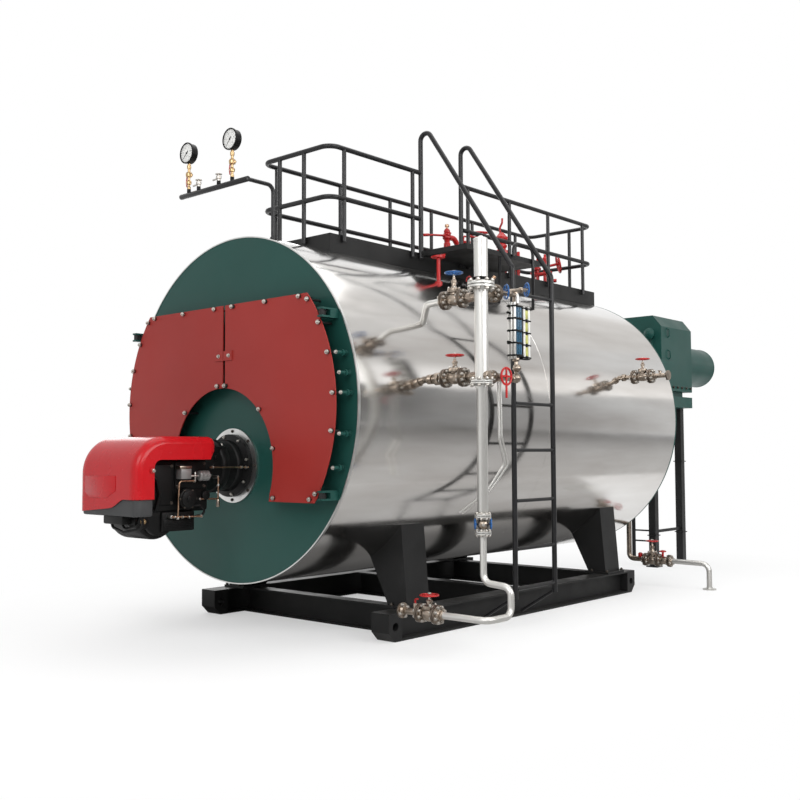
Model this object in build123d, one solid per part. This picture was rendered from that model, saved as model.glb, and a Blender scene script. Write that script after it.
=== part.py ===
from build123d import *
import math
import os

# Horizontal fire-tube steam boiler on a steel skid, in millimetres.
# X runs across the boiler towards the ladder side, Y from the burner to the flue, Z up.
# The origin is the middle of the skid on the floor.
# Names in _offset are measured back from the face of the front plate, names in _lead ahead of it.

os.makedirs("parts", exist_ok=True)

# Fits shared by many pieces
seat_gap = 0.3
running_gap = 0.1
cut_margin = 1.0

# Drum
casing_radius = 1200.0
casing_wall = 8.0
casing_length = 4272.0
drum_clearance = 170.0
front_plate_thickness = 14.0
rear_plate_thickness = 14.0
trim_width = 8.0
trim_stand = 4.0
smoke_box_depth = 380.0
tube_plate_thickness = 18.0

# Skid
front_overhang = 495.0
rear_overhang = 467.0
skid_inset = 206.0
beam_width = 160.0
beam_height = 190.0
beam_web = 12.0
beam_flange = 14.0
runner_rise = 62.0
runner_run = 60.0
beam_end_block = 130.0
lifting_hole_radius = 28.0
lifting_hole_height = 100.0
cross_beam_width = 110.0
cross_beam_web = 10.0

# Saddles, placed from the ends of the skid
saddle_front_inset = 355.0
saddle_rear_inset = 307.0
saddle_width = 240.0
saddle_plate = 12.0
saddle_base_plate = 16.0
saddle_base_margin = 20.0
saddle_base_inset = 12.0
saddle_foot_inset = 49.0
saddle_foot_width = 173.0
saddle_top_inset = 99.0
saddle_top_width = 295.0
saddle_bite = 20.0

# Smoke box doors, drawn about the drum's axis
door_edge_margin = 95.0
door_rise = 710.0
door_drop = 620.0
door_split_x = 22.0
door_gap = 25.0
door_arch_radius = 530.0
door_arch_taper = 40.0
door_stand_off = 102.0
door_cover_thickness = 8.0
door_body_recess = 112.0
door_seal_gap = 6.0
door_opening_lap = 55.0
stud_radius = 8.0
stud_inset = 17.0
stud_nut_radius = 14.0
stud_nut_height = 9.0
stud_rim_angles = (-9.0, 3.4, 17.0, 28.0)
stud_top_shares = (0.11, 0.52, 0.92)
stud_corner_drop = 43.0
stud_foot_rise = 60.0
stud_arch_angles = (86.0, 43.0, 12.0)
stud_bottom_margin = 25.0
short_stud_length = 48.0
clasp_height = 66.0
clasp_half_width = 92.0
clasp_rise = 362.0
clasp_thickness = 8.0
clasp_split = 5.0

# Door hinges and the clamps round the doors
hinge_rise = 570.0
hinge_stand = 53.0
hinge_lead = 15.0
hinge_pin_radius = 9.0
hinge_barrel_radius = 18.0
hinge_barrel_height = 36.0
hinge_ear_thickness = 12.0
hinge_ear_width = 44.0
hinge_end_play = 1.0
hinge_web_back = 54.0
strap_thickness = 14.0
strap_reach = 240.0
strap_rise = 115.0
strap_clearance = 8.0
clamp_margin = 64.0
clamp_radius = 11.0
clamp_length = 92.0
clamp_nut_radius = 20.0
clamp_nut_height = 16.0
clamp_angles = (-20.5, -9.5, 3.3, 9.6, 16.2)

# Burner on the furnace front
burner_drop = 389.0
furnace_radius = 470.0
furnace_wall = 12.0
blast_tube_radius = 150.0
blast_tube_wall = 10.0
blast_tube_reach = 120.0
burner_ring_radius = 256.0
burner_ring_thickness = 14.0
burner_flange_radius = 215.0
burner_flange_thickness = 22.0
burner_head_radius = 180.0
hood_half_width = 310.0
hood_lead = 1000.0
hood_back_lead = 865.0
hood_tail_lead = 372.0
hood_crown_rise = 178.0
hood_snout_rise = 45.0
hood_foot_drop = 195.0
hood_brow_radius = 230.0
hood_tail_radius = 40.0
hood_tail_chamfer = 55.0
hood_throat_radius = 48.0
hood_edge_radius = 12.0
band_height = 90.0
band_inset = 8.0
casting_half_width = 205.0
casting_neck_drop = 170.0
casting_foot_lead = 540.0
scroll_lead = 737.0
scroll_drop = 282.0
scroll_radius = 174.0
scroll_half_width = 150.0
gas_box_leads = (760.0, 498.0)
gas_box_drops = (297.0, 412.0)
gas_box_width = 105.0
motor_lead = 527.0
motor_drop = 201.0
motor_radius = 66.0
motor_depth = 58.0
motor_cap_radius = 50.0
motor_cap_depth = 12.0

# Pressure gauges on a header ahead of the crown
riser_x = 330.0
riser_offset = 62.0
riser_radius = 14.0
riser_bend_radius = 60.0
header_lead = 169.0
header_rise = 325.0
header_radius = 19.0
header_left = -398.0
header_cap = 16.0
gauge_places = (-305.0, 175.0)
gauge_rise = 299.0
gauge_radius = 75.0
gauge_depth = 52.0
gauge_rim = 8.0
gauge_recess = 6.0
cock_stem_radius = 9.0
cock_body_radius = 20.0
cock_body_rise = 60.0
cock_body_height = 50.0

# Platform on the crown
deck_left = -280.0
deck_right = 410.0
deck_front_offset = 528.0
deck_rear_margin = 107.0
deck_rise = 22.0
deck_thickness = 6.0
board_rise = 43.0
board_thickness = 6.0
rail_radius = 18.0
rail_top_rise = 630.0
rail_mid_rise = 263.0
rail_rear_inset = 80.0
rail_bend_radius = 90.0
rail_post_radius = 16.0
rail_post_lap = 50.0
far_post_shares = (0.016, 0.22, 0.40, 0.565, 0.745, 0.955)
near_front_post_shares = (0.06, 0.91)
near_rear_post_shares = (0.038, 0.342, 0.655, 0.963)
front_end_post_shares = (0.27, 0.63)
rear_end_post_shares = (0.30, 0.66)

# Ladder, handrails and landing
gate_front_offset = 1510.0
gate_width = 512.0
ladder_stand = 96.0
stile_radius = 19.0
stile_foot_level = 205.0
knee_drop = 230.0
hook_rise = 1062.0
hook_bend_radius = 55.0
rung_radius = 12.5
rung_levels = (275.0, 560.0, 905.0, 1270.0, 1610.0, 2410.0)
brace_radius = 12.0
brace_foot_level = 30.0
brace_lap = 20.0
landing_gap = 2.0
landing_thickness = 40.0
landing_step = 6.0
landing_width = 465.0
landing_front_lap = 15.0
landing_rear_reach = 483.0
strut_radius = 12.0
strut_places = (250.0, 425.0)
strut_foot_shift = 90.0
guard_radius = 13.0
guard_height = 90.0
guard_bend_radius = 60.0
guard_front_reach = 60.0
guard_foot_length = 90.0

# Level column, its branches and its drain
column_stand = 462.0
column_offset = 640.0
column_radius = 44.5
column_top_rise = 1060.0
column_foot_rise = 136.0
column_joint_rise = 757.0
column_flange_radius = 88.0
column_flange_thickness = 20.0
column_joint_gasket = 14.0
tail_radius = 21.0
tail_bend_radius = 45.0
tail_bend_level = 432.0
tail_stand = 208.0
tail_joint_drops = (706.0, 812.0)
tail_joint_radius = 52.0
tail_joint_thickness = 18.0
tail_valve_radius = 34.0
drain_offset = 400.0
drain_stand = 220.0
drain_level = 250.0
drain_length = 220.0
drain_rise = 115.0
drain_outlet_reach = 120.0
drain_outlet_radius = 22.0
drain_outlet_bore = 16.0
drain_outlet_flange_radius = 50.0
upper_branch_rise = 687.0
lower_branch_rise = 177.0
upper_valve_stand = 243.0
lower_valve_stand = 246.0
upper_wheel_rise = 175.0
lower_wheel_rise = 146.0
branch_radius = 24.0
branch_bend_radius = 40.0
elbow_stand = 40.0
elbow_run = 188.0
elbow_shift = 160.0
elbow_drop = 110.0
branch_bite = 12.0
flange_radius = 62.0
flange_thickness = 16.0
valve_length = 150.0
wheel_radius = 62.0
wheel_rim = 6.0
wheel_spoke_width = 9.0
wheel_spoke_height = 6.0
wheel_hub_wall = 7.0
wheel_hub_height = 14.0
stem_radius = 7.0
valve_neck_ratio = 0.8
valve_belly_ratio = 1.55
valve_shoulder_ratio = 0.6
bonnet_ratio = 0.72
bonnet_joint_ratio = 1.3
bonnet_foot_ratio = 0.3
bonnet_top_ratio = 0.62

# Level gauge beside the column
glass_reach = 385.0
glass_half_depth = 50.0
glass_half_width = 29.0
glass_foot_rise = 112.0
glass_height = 345.0
glass_end_cap = 14.0
strip_gap = 8.0
strip_depth = 86.0
strip_half_width = 20.0
strip_inset = 6.0
gauge_top_rise = 705.0
gauge_pipe_radius = 18.0
gauge_joint_reach = 178.0
gauge_joint_radius = 50.0
gauge_joint_thickness = 30.0
gauge_stem_radius = 20.0
gauge_clamp_radius = 36.0

# Feed line on the rear quarter
feed_rear_inset = 967.0
feed_rise = 335.0
feed_valve_stand = 175.0
feed_end_stand = 414.0
feed_valve_length = 165.0
feed_wheel_rise = 150.0
feed_pipe_radius = 20.0
feed_pipe_bore = 15.0
feed_flange_radius = 55.0
feed_flange_lap = 8.0

# Crown fittings, placed from the rear of the drum and from its top
nozzle_hole_clearance = 25.0
nozzle_flange_margin = 34.0
nozzle_flange_rise = 150.0
safety_radius = 52.0
steam_radius = 60.0
lever_radius = 45.0
vent_radius = 45.0
safety_inset = 1900.0
steam_inset = 1434.0
lever_inset = 1082.0
vent_inset = 435.0
ball_margin = 22.0
safety_bonnet_radius = 38.0
steam_body_rise = 296.0
steam_yoke_radius = 36.0
lever_body_rise = 384.0
lever_cone_radius = 81.0
lever_cone_height = 90.0
lever_stem_radius = 20.0
vent_body_rise = 310.0
vent_stem_radius = 25.0
vent_outlet_reach = 196.0
safety_top_rise = 506.0
steam_wheel_rise = 478.0
lever_top_rise = 549.0
vent_top_rise = 443.0
steam_wheel_radius = 133.0
steam_wheel_rim = 8.0
steam_wheel_spoke = 12.0
safety_outlet_reach = 181.0
safety_outlet_rise = 391.0
safety_lever_reach = 327.0
safety_lever_rise = 345.0
standpipe_x = 699.0
standpipe_offset = 1395.0
standpipe_top_rise = -4.0
standpipe_radius = 17.0
standpipe_tee_radius = 22.0
standpipe_tee_reach = 92.0

# Rear flue box and its duct
box_half_width = 350.0
box_stand = 1406.0
box_length = 734.0
box_rise = 430.0
box_height = 776.0
box_chamfer_x = 100.0
box_chamfer_z = 125.0
box_flange_height = 54.0
box_neck_height = 59.0
box_neck_inset_x = 60.0
box_neck_inset_y = 120.0
box_frame_height = 120.0
duct_radius = 229.0
duct_wall = 8.0
duct_rise = 728.0
duct_length = 884.0
duct_collar_radius = 262.0
duct_collar_thickness = 10.0
boss_radius = 30.0
boss_length = 60.0
boss_x = 236.0
boss_drop = 208.0

# Stand under the flue box
rear_post_side = 80.0
rear_post_x = 200.0
foot_plate_margin = 25.0
foot_plate_thickness = 12.0
post_collar_margin = 12.0
post_collar_thickness = 10.0
post_collar_levels = (340.0, 1146.0)
tie_side = 30.0
tie_level = 385.0
drain_tie_levels = (278.0, 392.0)
drain_tie_radius = 9.0
box_drain_x = -45.0
box_drain_radius = 21.0
box_drain_foot_level = 100.0

# Blowdown line behind the drum
blowdown_stand = 59.0
blowdown_nozzle_x = 657.0
blowdown_nozzle_margin = 90.0
blowdown_valve_x = 900.0
blowdown_level = 235.0
blowdown_wheel_rise = 176.0
blowdown_foot_x = 1464.0
blowdown_radius = 24.0
blowdown_bore = 18.0
blowdown_bend_radius = 50.0
blowdown_flange_x = 1079.0
blowdown_flange_radius = 58.0
blowdown_foot_radius = 60.0
blowdown_foot_thickness = 12.0
blowdown_bore_depth = 60.0

# Derived sizes and places
skid_length = casing_length - front_overhang - rear_overhang
skid_front = -skid_length / 2
skid_half_width = casing_radius - skid_inset
skid_rear = skid_length / 2
front_y = skid_front - front_overhang
rear_y = front_y + casing_length
casing_front_y = front_y + front_plate_thickness
tube_plate_y = casing_front_y + smoke_box_depth
drum_inner_radius = casing_radius - casing_wall
axis_height = beam_height + drum_clearance + casing_radius
drum_top = axis_height + casing_radius
saddle_front_y = skid_front + saddle_front_inset
saddle_rear_y = skid_rear - saddle_rear_inset

burner_height = axis_height - burner_drop
door_outer_radius = casing_radius - door_edge_margin
door_top = axis_height + door_rise
door_bottom = axis_height - door_drop
cover_back_y = front_y - door_stand_off
cover_front_y = cover_back_y - door_cover_thickness
hinge_x = math.sqrt(door_outer_radius**2 - hinge_rise**2) + hinge_stand
hinge_y = cover_front_y - hinge_lead
hinge_levels = (axis_height - hinge_rise, axis_height + hinge_rise)
clamp_ring_radius = casing_radius - clamp_margin

deck_front = front_y + deck_front_offset
deck_rear = rear_y - deck_rear_margin
deck_level = drum_top + deck_rise
board_top = deck_level + board_rise
rail_levels = (board_top + rail_mid_rise, board_top + rail_top_rise)
rail_left = deck_left - stile_radius - seat_gap
rail_right = deck_right + stile_radius + seat_gap
rail_front = deck_front - stile_radius - seat_gap
rail_rear = deck_rear - rail_rear_inset
gate_front = front_y + gate_front_offset
gate_rear = gate_front + gate_width
ladder_x = casing_radius + ladder_stand
knee_level = board_top - knee_drop
landing_level = board_top + landing_step
landing_inner_x = rail_right + stile_radius + landing_gap
landing_outer_x = landing_inner_x + landing_width - stile_radius - landing_gap
landing_rear = gate_rear + landing_rear_reach

column_x = casing_radius + column_stand
column_y = front_y + column_offset
column_top = axis_height + column_top_rise
column_foot = axis_height + column_foot_rise
upper_branch_level = axis_height + upper_branch_rise
lower_branch_level = axis_height + lower_branch_rise
upper_valve_x = casing_radius + upper_valve_stand
lower_valve_x = casing_radius + lower_valve_stand
tail_x = column_x + tail_stand
drain_x = casing_radius + drain_stand
drain_y = front_y + drain_offset
feed_y = rear_y - feed_rear_inset
feed_level = axis_height + feed_rise
feed_valve_x = casing_radius + feed_valve_stand
feed_end_x = casing_radius + feed_end_stand

box_front = rear_y + box_stand
box_rear = box_front + box_length
box_bottom = axis_height + box_rise
box_top = box_bottom + box_height
duct_level = axis_height + duct_rise
box_flange_bottom = box_bottom - box_flange_height
box_frame_top = box_flange_bottom - box_neck_height
box_frame_bottom = box_frame_top - box_frame_height
post_top = box_frame_bottom - seat_gap
post_front_y = box_front + rear_post_side / 2
post_rear_y = box_rear - rear_post_side / 2
blowdown_y = rear_y + blowdown_stand


def bar(start, end, radius):
    """Straight round bar between two points."""
    run = Vector(*end) - Vector(*start)
    seat = Plane(origin=start, z_dir=run)
    return seat * Cylinder(radius, run.length, align=(Align.CENTER, Align.CENTER, Align.MIN))


def bent_bar(points, radius, bend):
    """Round bar or pipe along straight runs joined by bends of one radius."""
    route = FilletPolyline(*points, radius=bend)
    return sweep(Plane(origin=route @ 0, z_dir=route % 0) * Circle(radius), path=route)


def disc_y(x, y, z, radius, thickness):
    """Disc whose front face is at y and whose axis runs back along Y."""
    seat = Plane(origin=(x, y, z), z_dir=(0, 1, 0))
    return seat * Cylinder(radius, thickness, align=(Align.CENTER, Align.CENTER, Align.MIN))


def tube_y(y_start, y_end, outer, inner, z):
    """Hollow cylinder along Y."""
    length = y_end - y_start
    return disc_y(0, y_start, z, outer, length) - disc_y(0, y_start, z, inner, length)


def prism_y(outline, y_start, y_end):
    """Outline drawn in X and Z, carried along Y."""
    face = Plane.XZ.offset(-y_end) * outline
    return extrude(face, amount=y_end - y_start, dir=(0, -1, 0))


def prism_x(outline, x_start, x_end):
    """Outline drawn in Y and Z, carried along X."""
    face = Plane.YZ.offset(x_start) * outline
    return extrude(face, amount=x_end - x_start, dir=(1, 0, 0))


def block(x_range, y_range, z_range):
    """Box from its two corners."""
    size = [high - low for low, high in (x_range, y_range, z_range)]
    middle = [(high + low) / 2 for low, high in (x_range, y_range, z_range)]
    return Pos(*middle) * Box(*size)


def rounded_corner(outline, place, radius):
    """Round the corner of a flat outline that lies nearest to a place."""
    corner = outline.vertices().sort_by_distance((*place, 0))[0]
    return fillet(corner, radius)


def mirrored(shape):
    """The same piece on the other side of the boiler."""
    return mirror(shape, about=Plane.YZ)


def grouped(shapes):
    """Like pieces of one node as separate solids."""
    return Compound([solid for shape in shapes for solid in shape.solids()])


def flange(centre, direction, radius=flange_radius, thickness=flange_thickness):
    """Round flange about its middle plane."""
    seat = Plane(origin=centre, z_dir=direction)
    return seat * Cylinder(radius, thickness)


def drum_height(x):
    """Height of the casing's upper surface at a distance from its middle."""
    return axis_height + math.sqrt(casing_radius**2 - x**2)


def drum_underside(x):
    """Height of the casing's lower surface at a distance from its middle."""
    return axis_height - math.sqrt(casing_radius**2 - x**2)


def drum_side(z):
    """Distance of the casing's side from its middle at a height."""
    return math.sqrt(casing_radius**2 - (z - axis_height) ** 2)


def drum_cutter(y_start=front_y, y_end=rear_y):
    """Solid cylinder just larger than the casing, to cut seats that hug it."""
    return disc_y(0, y_start, axis_height, casing_radius + seat_gap, y_end - y_start)


def save(name, shape):
    """Write one node."""
    export_step(shape, f"parts/{name}.step")


# Skid: two runners made from wide beams, joined by cross beams
def beam_profile(width, height, web, flange_depth):
    """I section about its middle."""
    profile = Rectangle(width, height)
    pocket = Rectangle((width - web) / 2, height - 2 * flange_depth)
    shift = (width + web) / 4
    return profile - Pos(shift, 0) * pocket - Pos(-shift, 0) * pocket


def skid_runner():
    middle_x = skid_half_width - beam_width / 2
    section = beam_profile(beam_width, beam_height, beam_web, beam_flange)
    runner = prism_y(Pos(middle_x, beam_height / 2) * section, skid_front, skid_rear)
    inner_x = skid_half_width - beam_width
    for side, tip in ((-1, skid_front), (1, skid_rear)):
        root = tip - side * beam_end_block
        runner += block((inner_x, skid_half_width), sorted((tip, root)), (0, beam_height))
        upturn = Polygon((tip, 0), (tip - side * runner_run, 0), (tip, runner_rise), align=None)
        runner -= prism_x(upturn, inner_x - cut_margin, skid_half_width + cut_margin)
        hole_y = tip - side * beam_end_block / 2
        runner -= bar(
            (inner_x - cut_margin, hole_y, lifting_hole_height),
            (skid_half_width + cut_margin, hole_y, lifting_hole_height),
            lifting_hole_radius,
        )
    return runner


def cross_beams():
    """One beam under each saddle and one in the middle."""
    half_length = skid_half_width - beam_width - seat_gap
    section = beam_profile(cross_beam_width, beam_height, cross_beam_web, beam_flange)
    beams = []
    for y in (saddle_front_y, 0, saddle_rear_y):
        beams.append(prism_x(Pos(y, beam_height / 2) * section, -half_length, half_length))
    return Compound(beams)


# Saddles: a fabricated leg on each runner, open to the inside and cut to the drum
def saddle_leg(y_middle):
    foot = beam_height + saddle_base_plate
    foot_outer = skid_half_width - saddle_foot_inset
    top_outer = skid_half_width - saddle_top_inset
    foot_inner = foot_outer - saddle_foot_width
    top_inner = top_outer - saddle_top_width
    top_outer_level = drum_underside(top_outer) + saddle_bite
    top_inner_level = drum_underside(top_inner) + saddle_bite
    outline = Polygon(
        (foot_outer, foot),
        (top_outer, top_outer_level),
        (top_inner, top_inner_level),
        (foot_inner, foot),
        align=None,
    )
    pocket = Polygon(
        (foot_outer - saddle_plate, foot),
        (top_outer - saddle_plate, top_outer_level + saddle_plate),
        (0, top_outer_level + saddle_plate),
        (0, foot),
        align=None,
    )
    y_front = y_middle - saddle_width / 2
    y_rear = y_middle + saddle_width / 2
    leg = prism_y(outline, y_front, y_rear)
    leg -= prism_y(pocket, y_front + saddle_plate, y_rear - saddle_plate)
    leg -= drum_cutter(y_front - cut_margin, y_rear + cut_margin)
    base = block(
        (foot_inner - saddle_base_margin, skid_half_width - saddle_base_inset),
        (y_front - saddle_base_margin, y_rear + saddle_base_margin),
        (beam_height, foot),
    )
    return leg + base


def saddle(y_middle):
    leg = saddle_leg(y_middle)
    return grouped([leg, mirrored(leg)])


# Drum casing, end plates and the tube plate behind the doors
def casing():
    end = rear_y - rear_plate_thickness
    return tube_y(casing_front_y, end, casing_radius, drum_inner_radius, axis_height)


def front_trim():
    """Thin ring round the front plate, flush with the casing."""
    start = front_y - trim_stand
    return tube_y(start, casing_front_y - seat_gap, casing_radius, casing_radius - trim_width, axis_height)


def leaf_outline(inner_edge):
    """Door leaf on the +X side, drawn in X and Z, from its free edge outwards."""
    leaf = Pos(0, axis_height) * Circle(door_outer_radius)
    width = door_outer_radius - inner_edge
    height = door_top - door_bottom
    leaf &= Pos(inner_edge + width / 2, door_bottom + height / 2) * Rectangle(width, height)
    leaf -= Pos(0, burner_height) * Circle(door_arch_radius)
    leaf -= Polygon(
        (-door_arch_radius, burner_height),
        (door_arch_radius, burner_height),
        (door_arch_radius - door_arch_taper, door_bottom - cut_margin),
        (-door_arch_radius, door_bottom - cut_margin),
        align=None,
    )
    return leaf


def shrunk_leaf(inner_edge, amount):
    return offset(leaf_outline(inner_edge), amount=-amount, kind=Kind.INTERSECTION)


# Free edges of the right and left leaves, each measured outwards on its own side
right_free_edge = door_gap / 2 + door_split_x
left_free_edge = door_gap / 2 - door_split_x


def front_plate():
    plate_radius = casing_radius - trim_width - seat_gap
    plate = disc_y(0, front_y, axis_height, plate_radius, front_plate_thickness)
    for inner_edge, place in ((right_free_edge, lambda shape: shape), (left_free_edge, mirrored)):
        opening = prism_y(
            shrunk_leaf(inner_edge, door_body_recess + door_opening_lap),
            front_y - cut_margin,
            casing_front_y + cut_margin,
        )
        plate -= place(opening)
    hole_radius = blast_tube_radius + seat_gap
    hole_length = front_plate_thickness + 2 * cut_margin
    return plate - disc_y(0, front_y - cut_margin, burner_height, hole_radius, hole_length)


def rear_plate():
    return disc_y(0, rear_y - rear_plate_thickness, axis_height, casing_radius, rear_plate_thickness)


def tube_plate():
    return disc_y(0, tube_plate_y, axis_height, drum_inner_radius - seat_gap, tube_plate_thickness)


def furnace_tube():
    start = casing_front_y + seat_gap
    end = tube_plate_y - seat_gap
    return tube_y(start, end, furnace_radius, furnace_radius - furnace_wall, burner_height)


# Smoke box doors: red cover held by studs ahead of an insulated body on two hinges
def stud_places(inner_edge):
    """Studs near the edge of a leaf on the +X side."""
    rim = door_outer_radius - stud_inset
    places = []
    for angle in stud_rim_angles:
        turn = math.radians(angle)
        places.append((rim * math.cos(turn), axis_height + rim * math.sin(turn)))
    for z in (door_bottom + stud_foot_rise, door_top - stud_corner_drop):
        places.append((math.sqrt(rim**2 - (z - axis_height) ** 2), z))
    top_edge = math.sqrt(door_outer_radius**2 - door_rise**2)
    for share in stud_top_shares:
        places.append((inner_edge + share * (top_edge - inner_edge), door_top - stud_inset))
    arch = door_arch_radius + stud_inset
    for angle in stud_arch_angles:
        turn = math.radians(angle)
        x = max(arch * math.cos(turn), inner_edge + stud_inset)
        places.append((x, burner_height + math.sqrt(arch**2 - x**2)))
    bottom = door_bottom + stud_bottom_margin
    bottom_edge = math.sqrt(door_outer_radius**2 - (bottom - axis_height) ** 2)
    places.append((door_arch_radius - door_arch_taper + 2 * stud_bottom_margin, bottom))
    places.append((bottom_edge - 2 * stud_bottom_margin, bottom))
    return places


def door_cover(inner_edge):
    cover = prism_y(leaf_outline(inner_edge), cover_front_y, cover_back_y)
    hole_radius = stud_radius + seat_gap
    for x, z in stud_places(inner_edge):
        start = (x, cover_front_y - cut_margin, z)
        cover -= bar(start, (x, cover_back_y + cut_margin, z), hole_radius)
    side = 1 if inner_edge == right_free_edge else -1
    clasp_level = axis_height + clasp_rise
    clasp_edge = clasp_split / 2 + side * door_split_x
    clasp_end = clasp_half_width + side * door_split_x
    clasp = block(
        (clasp_edge, clasp_end),
        (cover_front_y - clasp_thickness, cover_front_y),
        (clasp_level - clasp_height / 2, clasp_level + clasp_height / 2),
    )
    return cover + clasp


def door_body(inner_edge):
    """Insulated body with two hinge straps and the studs that carry the cover."""
    body_front = cover_back_y + seat_gap
    body = prism_y(shrunk_leaf(inner_edge, door_body_recess), body_front, front_y - door_seal_gap)
    for level in hinge_levels:
        inward = 1 if level < axis_height else -1
        half = inward * hinge_barrel_height / 2
        strap_outline = Polygon(
            (hinge_x, level - half),
            (hinge_x, level + half),
            (hinge_x - hinge_ear_width / 2 - strap_clearance, level + half),
            (hinge_x - strap_reach / 2, level + inward * strap_rise),
            (hinge_x - strap_reach, level + inward * strap_rise),
            (hinge_x - strap_reach, level - half),
            align=None,
        )
        body += prism_y(strap_outline, body_front, body_front + strap_thickness)
        low = level - hinge_barrel_height / 2
        high = level + hinge_barrel_height / 2
        body += bar((hinge_x, hinge_y, low), (hinge_x, hinge_y, high), hinge_barrel_radius)
        body += block(
            (hinge_x - hinge_barrel_radius, hinge_x),
            (hinge_y, body_front + strap_thickness),
            (low, high),
        )
        bore_radius = hinge_pin_radius + running_gap
        body -= bar((hinge_x, hinge_y, low - cut_margin), (hinge_x, hinge_y, high + cut_margin), bore_radius)
    for x, z in stud_places(inner_edge):
        body += door_stud(x, z)
    return body


def door_stud(x, z):
    """Stud through the cover, with a nut ahead of it and a collar behind it."""
    # Beyond the pin a stud swings towards the front plate, so it is short there
    end_y = front_y - door_seal_gap if x < hinge_x else cover_back_y + short_stud_length
    tip_y = cover_front_y - seat_gap - stud_nut_height
    stud = bar((x, tip_y, z), (x, end_y, z), stud_radius)
    stud += bar((x, tip_y, z), (x, cover_front_y - seat_gap, z), stud_nut_radius)
    collar_y = cover_back_y + seat_gap
    return stud + bar((x, collar_y, z), (x, collar_y + stud_nut_height, z), stud_nut_radius)


def hinge_lugs():
    """Forked lugs on the front plate with their pins."""
    lugs = []
    x_range = (hinge_x - hinge_ear_width / 2, hinge_x + hinge_ear_width / 2)
    tip_y = hinge_y - hinge_barrel_radius
    for level in hinge_levels:
        low = level - hinge_barrel_height / 2 - hinge_end_play
        high = level + hinge_barrel_height / 2 + hinge_end_play
        pin_low = low - hinge_ear_thickness
        pin_high = high + hinge_ear_thickness
        lug = block(x_range, (tip_y, front_y), (pin_low, low))
        lug += block(x_range, (tip_y, front_y), (high, pin_high))
        lug += block(x_range, (hinge_y + hinge_web_back, front_y), (low, high))
        lug += bar((hinge_x, hinge_y, pin_low), (hinge_x, hinge_y, pin_high), hinge_pin_radius)
        lugs += [lug, mirrored(lug)]
    return grouped(lugs)


def door_clamps():
    """Clamp studs round the doors, each with a nut partway along."""
    clamps = []
    nut_y = front_y - clamp_length / 2
    for angle in clamp_angles:
        turn = math.radians(angle)
        x = clamp_ring_radius * math.cos(turn)
        z = axis_height + clamp_ring_radius * math.sin(turn)
        clamp = bar((x, front_y - clamp_length, z), (x, front_y, z), clamp_radius)
        clamp += bar((x, nut_y, z), (x, nut_y + clamp_nut_height, z), clamp_nut_radius)
        clamps += [clamp, mirrored(clamp)]
    return grouped(clamps)


# Burner
ring_front_y = front_y - burner_ring_thickness
flange_front_y = ring_front_y - burner_flange_thickness
hood_front_y = front_y - hood_lead
hood_back_y = front_y - hood_back_lead
hood_tail_y = front_y - hood_tail_lead
hood_top = burner_height + hood_crown_rise
hood_foot = burner_height - hood_foot_drop
snout_level = burner_height + hood_snout_rise
band_foot = hood_foot - band_height


def burner_ring():
    ring = disc_y(0, ring_front_y, burner_height, burner_ring_radius, burner_ring_thickness - seat_gap)
    hole_radius = blast_tube_radius + seat_gap
    hole_length = burner_ring_thickness + 2 * cut_margin
    return ring - disc_y(0, ring_front_y - cut_margin, burner_height, hole_radius, hole_length)


def burner_tube():
    """Burner head with its flange and the open blast tube inside the furnace."""
    head_start = hood_tail_y + seat_gap
    inner_end_y = tube_plate_y - blast_tube_reach
    tube = disc_y(0, head_start, burner_height, burner_head_radius, flange_front_y - head_start)
    flange_depth = burner_flange_thickness - seat_gap
    tube += disc_y(0, flange_front_y, burner_height, burner_flange_radius, flange_depth)
    tube += disc_y(0, flange_front_y, burner_height, blast_tube_radius, inner_end_y - flange_front_y)
    bore_length = inner_end_y - casing_front_y + cut_margin
    return tube - disc_y(0, casing_front_y, burner_height, blast_tube_radius - blast_tube_wall, bore_length)


def burner_hood():
    """Red cover in one side profile: a deep front with a round brow and a snout over the head."""
    profile = Polygon(
        (hood_front_y, hood_foot),
        (hood_front_y, hood_top),
        (hood_tail_y, hood_top),
        (hood_tail_y, snout_level + hood_tail_chamfer),
        (hood_tail_y - hood_tail_chamfer, snout_level),
        (hood_back_y, snout_level),
        (hood_back_y, hood_foot),
        align=None,
    )
    profile = rounded_corner(profile, (hood_front_y, hood_top), hood_brow_radius)
    profile = rounded_corner(profile, (hood_tail_y, hood_top), hood_tail_radius)
    profile = rounded_corner(profile, (hood_back_y, snout_level), hood_throat_radius)
    hood = prism_x(profile, -hood_half_width, hood_half_width)
    side_faces = hood.faces().filter_by(Axis.X)
    return fillet(side_faces.edges(), hood_edge_radius)


def burner_housing():
    """Dark castings under the snout: band, valve body, fan scroll and gas box."""
    band_half = hood_half_width - band_inset
    casting_front = hood_back_y + seat_gap
    band = block(
        (-band_half, band_half),
        (hood_front_y + band_inset, casting_front + band_inset),
        (band_foot, hood_foot - seat_gap),
    )
    casting_top = snout_level - seat_gap
    casting_profile = Polygon(
        (casting_front, band_foot),
        (casting_front, casting_top),
        (hood_tail_y, casting_top),
        (hood_tail_y, burner_height - casting_neck_drop),
        (front_y - casting_foot_lead, band_foot),
        align=None,
    )
    casting_profile = rounded_corner(casting_profile, (casting_front, casting_top), hood_throat_radius)
    casting = prism_x(casting_profile, -casting_half_width, casting_half_width)
    scroll_y = front_y - scroll_lead
    scroll_level = burner_height - scroll_drop
    scroll = bar(
        (-scroll_half_width, scroll_y, scroll_level),
        (scroll_half_width, scroll_y, scroll_level),
        scroll_radius,
    )
    scroll -= block(
        (-hood_half_width, hood_half_width),
        (hood_front_y, casting_front),
        (hood_foot - seat_gap, snout_level),
    )
    gas_box = block(
        (casting_half_width - gas_box_width, casting_half_width),
        (front_y - gas_box_leads[0], front_y - gas_box_leads[1]),
        (burner_height - gas_box_drops[1], burner_height - gas_box_drops[0] + cut_margin),
    )
    return band + casting + scroll + gas_box


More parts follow.
